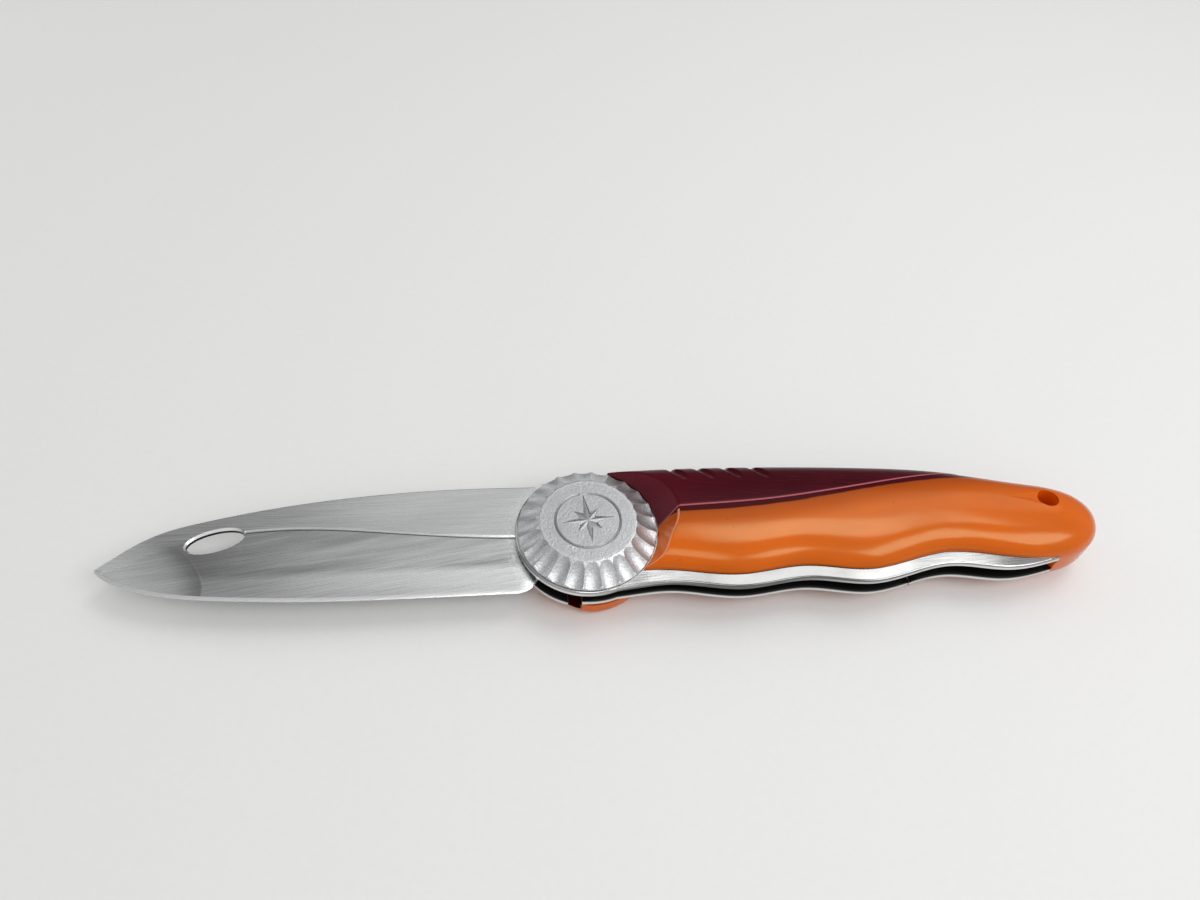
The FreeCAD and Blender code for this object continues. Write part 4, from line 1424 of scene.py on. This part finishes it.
def soften(row, depth=0.07):
    """Lowers a row's first point a little, so that the edge there shades as a small rounding."""
    row[0, 2] -= depth * smooth(row[0, 2], RECESS_LIP, RECESS_LIP + 1.5)


def along_row(start, end, edge=0.22):
    """Stations along a row, with a close pair at its start for the rounding there."""
    return np.concatenate([[start], np.linspace(start + edge, end, ALONG)])


def half_shell(crown, well):
    """A handle half without its grip, closed at the middle plane."""
    low_shares = [float(crown.share_at(z)) for z in SEAM_LEVELS]
    shares = low_shares + list(low_shares[-1] * np.sin(np.linspace(math.pi / 2, 0, ACROSS))[1:])
    rows, low_edge, high_edge = [], [], []
    apex = np.array([crown.dome, float(crown.crest(crown.dome))])
    for share, rise in zip(shares, np.linspace(1, 0, len(shares))):
        x = along_row(start_of(lambda a: crown.low_point(a, share), well), crown.dome)
        low_side = crown.low_point(x, share)
        x = along_row(start_of(lambda a: crown.high_point(a, rise), well), crown.dome)
        high_side = crown.high_point(x, rise)
        soften(low_side)
        soften(high_side)
        fan = level(apex + (crown.butt - apex) * share, crown.level(share))
        rows.append(np.concatenate([low_side, fan, high_side[::-1]]))
        low_edge.append(low_side[0])
        high_edge.append(high_side[0])
    solid = Solid()
    skirt = rows[0] * np.array([1, 1, 0])
    indices = solid.grid([skirt] + rows)
    edge = np.array(low_edge + high_edge[::-1])
    wall = well_wall(solid, edge, well, 0.0, FACET_SHEAR)
    solid.fan(indices[0][-1], [row[-1] for row in wall])
    solid.cap(indices[0] + wall[-1][:0:-1])
    return solid


def grip_steps():
    """Rows of the grip: millimetres from the ridge, share of the rest, and how far the row is lowered."""
    rows = [(fixed, 0.0, fall) for fixed, fall in zip(RIDGE_EDGE, RIDGE_FALL)]
    rows += [(RIDGE_EDGE[-1], share, 0.0) for share in np.sin(np.linspace(0, math.pi / 2, ACROSS))[1:]]
    return rows


def grooved(crown, points, count):
    """Pushes points out of the slanting thumb grooves over the spine."""
    points = points.copy()
    for index in range(count):
        x = GROOVE_FIRST + index * GROOVE_PITCH
        spine = float(crown.upper(x))
        path = [np.array([x + along, spine - inwards, z]) for along, inwards, z in GROOVE_PATH]
        for start, end in zip(path, path[1:]):
            run = end - start
            share = np.clip((points - start) @ run / (run @ run), 0, 1)
            axis = start + share[:, None] * run
            away = points - axis
            gap = np.linalg.norm(away, axis=1)
            within = gap < GROOVE_R
            points[within] = axis[within] + away[within] * (GROOVE_R / gap[within])[:, None]
    return points


def grip_shell(crown, well, proud, grooves):
    """The wedge on the spine side of the ridge, closed at the middle plane."""
    end = crown.ridge_end()
    rows = []
    for step in grip_steps():
        x = along_row(start_of(lambda a: crown.grip_point(a, step, proud), well), end)
        row = crown.grip_point(x, step, proud)
        soften(row)
        rows.append(grooved(crown, row, grooves))
    solid = Solid()
    flat = np.array([1, 1, 0])
    indices = solid.grid([rows[0] * flat] + rows + [rows[-1] * flat])
    edge = np.array([row[0] for row in rows])
    wall = well_wall(solid, edge, well, FACET_SHEAR, 0.0)
    solid.fan(indices[0][0], [row[0] for row in wall])
    solid.fan(indices[0][-1], [row[-1] for row in indices[1:]])
    solid.fan(indices[-1][0], [row[-1] for row in wall])
    solid.cap(indices[0] + indices[-1][::-1] + wall[-1][::-1])
    return solid


def liner_room():
    """The space that the liners take below a handle half."""
    bottom, _, top = placed(TAIL_ARC)
    far = OUTSIDE
    corners = [(top[0], far), (-far, far), (-far, -far), (bottom[0], -far)]
    loop = np.concatenate([tail_arc(bottom, top, 80), corners])
    return straight("liner_room", loop, -far, LINER_OUT)


def tip_room():
    """The end of the slot, where the folded tip lies, up to a line just above the folded edge."""
    loop = circle(BLADE_REACH + TIP_CLEAR, 360)
    (near, high), (far, low) = TIP_CEILING
    ceiling = np.interp(loop[:, 0], (near, far), (high, low))
    bounds = (loop[:, 0] > near) & (loop[:, 1] < ceiling) & (loop[:, 1] > SLOT_BELOW)
    corner = (loop[bounds][-1, 0], ceiling[bounds][-1])
    loop = np.concatenate([loop[bounds], [corner, (near, high), (near, SLOT_BELOW)]])
    return straight("tip_room", loop, -LINER_IN, LINER_IN)


def lanyard_room():
    """The lanyard hole, straight as far as its seat and opening very slightly from there."""
    far = 3 * CROWN_TOP
    steps = [(-far, LANYARD_R), (LANYARD_SEAT, LANYARD_R), (far, LANYARD_R + LANYARD_FLARE)]
    return stacked("lanyard_room", [level(circle(radius, 80, LANYARD_PLACE), z) for z, radius in steps])


def teardrop_room(crown):
    """The shallow scoop that runs into the lanyard hole."""
    rings = []
    for share in np.linspace(0.03, 1, 30):
        x = LANYARD_PLACE[0] - TEAR_LENGTH * (1 - share)
        y = LANYARD_PLACE[1] + TEAR_RISE * (1 - share)
        half, deep = TEAR_HALF * share, TEAR_DEPTH * share
        radius = (half ** 2 + deep ** 2) / (2 * deep)
        crest = float(crown.crest(x))
        top = float(crown.level((y - crest) / (float(crown.upper(x)) - crest)))
        ring = circle(radius, 48, (y, top + radius - deep))
        rings.append(np.column_stack([np.full(len(ring), x), ring]))
    solid = Solid()
    rows = solid.grid(rings, wrap=True)
    for ring in (rows[0], rows[-1]):
        solid.fan(ring[0], ring[1:])
    return solid.build("teardrop_room")


def notch_room():
    """Thumb room in the rear boss, beyond the end of the lock leaf."""
    end = np.array(LEAF_EDGE[0])
    front = end - np.array([LOCK_WINDOW, 0])
    away = HANDLE_REACH * np.array([math.cos(LOCK_FACE), math.sin(LOCK_FACE)])
    loop = np.array([front, end, end + away, front + away])
    return straight("notch_room", loop, 0, LINER_OUT + LOCK_NOTCH)


def boss():
    """The round rear boss that covers the pivot screw, drawn in and fuller round towards the blade."""
    turn = np.linspace(0, 2 * math.pi, 192, endpoint=False)
    ahead = smooth(-np.cos(turn), -0.1, 0.55)
    outer = BOSS_R - BOSS_DRAWN_IN * ahead
    curve = BOSS_ROUND + (CROWN_TOP - LINER_OUT - 0.1 - BOSS_ROUND) * ahead
    profile = [(0 * turn + BOSS_AXIS_R, 0 * turn + CROWN_TOP)]
    for lean in np.radians(np.linspace(90, 0, 14)):
        profile.append((outer - curve * (1 - math.cos(lean)), CROWN_TOP - curve * (1 - math.sin(lean))))
    room = [(outer, LINER_OUT), (BOSS_ROOM_R, LINER_OUT), (BOSS_ROOM_R, BOSS_ROOM_TOP),
            (BOSS_AXIS_R, BOSS_ROOM_TOP)]
    profile += [(radius + 0 * turn, z + 0 * turn) for radius, z in room]
    solid = Solid()
    solid.grid([polar(radius, turn, z) for radius, z in profile], wrap=True)
    return solid.build("boss")


def turned_over(piece):
    """Mirrors a piece through the blade's middle plane."""
    lift = Matrix.Translation(Vector((0, 0, MIDDLE)))
    piece.data.transform(lift @ Matrix.Scale(-1, 4, (0, 0, 1)) @ lift.inverted())
    piece.data.flip_normals()
    return piece


def opened(piece):
    """Takes the liner, the folded tip and the lanyard out of a handle half."""
    for room in (liner_room(), tip_room(), lanyard_room()):
        combined(piece, room, "DIFFERENCE")
    return piece


def below_fade_line(piece):
    """How far each point of a half lies below the line where the burgundy tint and painted shade under the ridge
    start to fade, in millimetres.
    """
    points = millimetres(piece)
    return Spline(placed(FADE_LINE)).heights()(points[:, 0]) - points[:, 1]


def lit_facet_edge(crown, piece):
    """1 along the upper edge of the facet beside the wheel, where a highlight is painted."""
    x, y, z = millimetres(piece).T
    crest = crown.crest(x)
    top = crown.level((y - crest) / np.where(y > crest, crown.upper(x) - crest, crown.lower(x) - crest))
    aside = np.abs(np.hypot(x, y) - front_well(z, np.arctan2(y, x)))
    near = (aside < 0.12) & (z > top - 0.16) & (z > RECESS_LIP + 0.2)
    return near & (y < crown.ridge(x) - 0.5)


def ridge_highlight_marks(crown, piece, well):
    """1 along the grip's lower edge, by the ridge and by the slanting end of the facet beside the wheel, where a
    pink highlight is painted; a little of it over the rest of the facet.
    """
    x, y, z = millimetres(piece).T
    rim = smooth(crown.ridge(x) + 0.3 - y, 0.0, 0.25) * (np.abs(z) > LINER_OUT + 1)
    if well is front_well:
        start = start_of(lambda a: crown.grip_point(a, grip_steps()[0], 0.0), well)
        corner = crown.grip_point(np.array(start), grip_steps()[0], 0.0)
        down = np.clip((corner[2] - z) / (corner[2] - RECESS_LIP), 0, 1)
        edge = math.atan2(corner[1], corner[0]) + FACET_SHEAR * down
        aside = (np.arctan2(y, x) - edge) * np.hypot(x, y)
        facet = np.hypot(x, y) < well(z, np.arctan2(y, x)) + 0.05
        rim = np.where(facet, np.maximum(0.6 * smooth(0.35 - aside, 0.0, 0.3), 0.07), rim)
    return rim


class KNIFE_OT_scales(bpy.types.Operator):
    """Makes the two orange handle halves"""

    bl_idname = "knife.scales"
    bl_label = "Handle halves"

    def execute(self, context):
        settings = context.scene.knife
        plastic = moulded_orange(settings.colours)
        crown = Crown(settings.sizes.liner_show / MM)
        front = opened(half_shell(crown, front_well).build("front_handle_half"))
        combined(front, teardrop_room(crown), "DIFFERENCE")
        mark(front, "dyed", below_fade_line(front))
        mark(front, "worn", lit_facet_edge(crown, front))
        finished(front, plastic, "front_scale", "handle", 40)
        rear = opened(half_shell(crown, rear_well).build("rear_handle_half"))
        combined(rear, boss(), "UNION")
        turned_over(combined(rear, notch_room(), "DIFFERENCE"))
        mark(rear, "dyed", below_fade_line(rear))
        finished(rear, plastic, "rear_scale", "handle", 40)
        return {"FINISHED"}


class KNIFE_OT_grips(bpy.types.Operator):
    """Makes the two burgundy grips with their thumb grooves"""

    bl_idname = "knife.grips"
    bl_label = "Grips"

    def execute(self, context):
        settings = context.scene.knife
        sizes = settings.sizes
        plastic = moulded_burgundy(settings.colours)
        crown = Crown(sizes.liner_show / MM)
        wedges = (("front_grip_wedge", "front_grip", front_well, sizes.grip_proud / MM),
                  ("rear_grip_wedge", "rear_grip", rear_well, 0.0))
        for name, node, well, proud in wedges:
            piece = grip_shell(crown, well, proud, sizes.grooves).build(name)
            combined(piece, liner_room(), "DIFFERENCE")
            mark(piece, "rim", ridge_highlight_marks(crown, piece, well))
            if well is rear_well:
                turned_over(piece)
            finished(piece, plastic, node, "handle", 40)
        return {"FINISHED"}


# Screws and inner pieces

SCREW_R = 0.9
SCREW_HEAD = 0.7
SCREW_BITE = 1.9
SOCKET_R = 0.75
SOCKET_DEPTH = 0.5


def screw_tree(values):
    """A countersunk screw with a six-sided socket, set on each point of a mesh."""
    tree, given, output = new_tree("Countersunk screws", values)
    s = Steps(tree)
    turned = s.node("GeometryNodeMeshCylinder", Vertices=40, Side_Segments=2, Radius=1.0, Depth=2.0)
    at = s.parts(s.node("GeometryNodeInputPosition").outputs[0])
    below = s.times(s.math("MINIMUM", at["Z"], 0.0), -1.0)
    above = s.math("MAXIMUM", at["Z"], 0.0)
    radius = s.blend(below, given["Shank Radius"], given["Head Radius"])
    height = s.times(s.minus(1.0, below), given["Head Height"])
    height = s.plus(height, s.times(above, given["Shank Length"]))
    place = s.node("ShaderNodeCombineXYZ", X=s.times(at["X"], radius), Y=s.times(at["Y"], radius), Z=height)
    shaped = s.node("GeometryNodeSetPosition", Geometry=turned.outputs["Mesh"], Position=place.outputs[0])
    socket = s.node("GeometryNodeMeshCylinder", Vertices=6, Radius=given["Socket Radius"],
                    Depth=s.times(given["Socket Depth"], 2.0))
    cut = s.node("GeometryNodeMeshBoolean", {"operation": "DIFFERENCE", "solver": "MANIFOLD"},
                 Mesh_1=shaped.outputs["Geometry"], Mesh_2=socket.outputs["Mesh"])
    painted_copies(s, given, output, given["Geometry"], cut.outputs["Mesh"])
    return tree


class KNIFE_OT_screws(bpy.types.Operator):
    """Makes the countersunk screws that hold the handle halves to the liners"""

    bl_idname = "knife.screws"
    bl_label = "Scale screws"

    def execute(self, context):
        steel = turned_steel(context.scene.knife.colours)
        lengths = {"Head Radius": SCREW_HEAD_R, "Shank Radius": SCREW_R, "Head Height": SCREW_HEAD,
                   "Shank Length": LINER_OUT + SCREW_BITE - LINER_IN - SCREW_HEAD, "Socket Radius": SOCKET_R,
                   "Socket Depth": SOCKET_DEPTH}
        inputs = {name: value * MM for name, value in lengths.items()}
        inputs["Material"] = steel
        tree = screw_tree(inputs)
        for name, node in (("front_screws", "front_scale_screws"), ("rear_screws", "rear_scale_screws")):
            solid = Solid()
            solid.add(level(placed(SCREW_PLACES), LINER_IN))
            piece = solid.build(name)
            set_inputs(piece, tree, inputs)
            baked(piece)
            if node.startswith("rear"):
                turned_over(piece)
            finished(piece, steel, node, "handle", 30)
        return {"FINISHED"}


class KNIFE_OT_inner_pieces(bpy.types.Operator):
    """Gives the pin, rivets, pivot screw, bushes, washers, spacer and detent ball their finishes"""

    bl_idname = "knife.inner_pieces"
    bl_label = "Inner pieces"

    def execute(self, context):
        colours = context.scene.knife.colours
        finishes = {
            turned_steel(colours): ("stop_pin", "spacer_rivets", "pivot_screw", "detent_ball"),
            bearing_bronze(colours): ("hub_bush", "screw_bush", "front_washer", "rear_washer"),
            black_nylon(colours): ("back_spacer",),
        }
        for material, nodes in finishes.items():
            for node in nodes:
                mesh = frame["nodes"][node].data
                mesh.materials.clear()
                mesh.materials.append(material)
        return {"FINISHED"}


# Stage

FLOOR_SIZE = 3.0
SKY_BRIGHT = (0.45, -0.45, 0.77)
SKY_RANGE = (-0.5, 0.95)
SKY_DARK = (0.18, 0.18, 0.185)
SKY_PALE = (1, 1, 1)

# The camera's right, up and backward directions
VIEW = ((0.99526, -0.08032, 0.05485), (0.02829, 0.77857, 0.62693), (-0.09306, -0.62240, 0.77715))

# Each light's setting, place, aim and size
LIGHTS = {
    "soft_box": ("key", (-0.05, 0.40, 0.56), (-0.05, 0.40, 0.0), (0.30, 0.30)),
    "back": ("back", (0.335, 0.40, 0.56), (0.335, 0.40, 0.0), (0.43, 0.20)),
    "window": ("window", (0.24, 0.16, 0.56), (0.24, 0.16, 0.0), (0.24, 0.22)),
    "strip": ("strip", (0.02, -0.22, 0.42), (0.0, 0.0, 0.0), (0.16, 0.16)),
    "side": ("side", (0.33, -0.20, 0.42), (0.06, 0.0, 0.0), (0.28, 0.20)),
    "fill": ("fill", (-0.40, -0.45, 0.45), (0.0, 0.0, 0.0), (0.6, 0.5)),
    "left": ("left", (-0.40, 0.22, 0.17), (0.0, 0.0, 0.01), (0.26, 0.26)),
}


def area_light(name, place, aim, size, power):
    light = bpy.data.lights.new(name, "AREA")
    light.shape = "RECTANGLE"
    light.size, light.size_y = size
    light.energy = power
    lamp = linked(name, light)
    lamp.location = place
    lamp.rotation_euler = (Vector(aim) - Vector(place)).to_track_quat("-Z", "Y").to_euler()


def studio_world(strength):
    """A pale surround that darkens towards the blade's tip and the floor."""
    world = bpy.data.worlds.new("surround")
    world.use_nodes = True
    s = Steps(world.node_tree)
    light = s.nodes["Background"]
    light.inputs["Strength"].default_value = strength
    facing = s.node("ShaderNodeVectorMath", {"operation": "DOT_PRODUCT"})
    s.put(facing.inputs[0], s.node("ShaderNodeTexCoord").outputs["Generated"])
    s.put(facing.inputs[1], SKY_BRIGHT)
    tone = s.mix(s.span(facing.outputs["Value"], *SKY_RANGE), SKY_DARK, SKY_PALE)
    s.put(light.inputs["Color"], tone)
    return world


class KNIFE_OT_stage(bpy.types.Operator):
    """Makes the pale floor, the soft lights and the camera"""

    bl_idname = "knife.stage"
    bl_label = "Stage"

    def execute(self, context):
        scene, settings = context.scene, context.scene.knife
        mesh = bpy.data.meshes.new("floor")
        mesh.from_pydata(level(SQUARE * FLOOR_SIZE / 2, 0).tolist(), [], [(0, 1, 2, 3)])
        mesh.materials.append(pale_paper(settings.colours))
        floor = linked("floor", mesh)

        stage = settings.stage
        for name, (setting, place, aim, size) in LIGHTS.items():
            area_light(name, place, aim, size, getattr(stage, setting))
        scene.world = studio_world(stage.sky)
        scene.view_settings.view_transform = "Standard"

        lens = bpy.data.cameras.new("camera")
        lens.sensor_width = 36
        lens.lens = stage.lens
        lens.clip_start = 0.005
        camera = linked("camera", lens)
        turn = Matrix(VIEW).transposed().to_4x4()
        camera.matrix_world = Matrix.Translation(Vector(stage.eye)) @ turn
        scene.camera = camera
        return {"FINISHED"}


class KNIFE_PT_sidebar(bpy.types.Panel):
    """Lists the steps and settings of the knife"""

    bl_label = "Folding knife"
    bl_space_type = "VIEW_3D"
    bl_region_type = "UI"
    bl_category = "Knife"

    def draw(self, context):
        for step in STEPS:
            self.layout.operator(step.bl_idname)
        settings = context.scene.knife
        for group in (settings.sizes, settings.colours, settings.stage):
            for name in group.__annotations__:
                self.layout.prop(group, name)


STEPS = (KNIFE_OT_blade, KNIFE_OT_thumb_wheel, KNIFE_OT_liners, KNIFE_OT_scales, KNIFE_OT_grips,
         KNIFE_OT_screws, KNIFE_OT_inner_pieces, KNIFE_OT_stage)
GROUPS = (KnifeSizes, KnifeColours, KnifeStage, KnifeSettings)


def register():
    for group in GROUPS + STEPS + (KNIFE_PT_sidebar,):
        bpy.utils.register_class(group)
    bpy.types.Scene.knife = PointerProperty(type=KnifeSettings)


def unregister():
    del bpy.types.Scene.knife
    for group in reversed(GROUPS + STEPS + (KNIFE_PT_sidebar,)):
        bpy.utils.unregister_class(group)


def main():
    register()
    for step in STEPS:
        group, name = step.bl_idname.split(".")
        getattr(getattr(bpy.ops, group), name)()


if __name__ == "__main__":
    main()
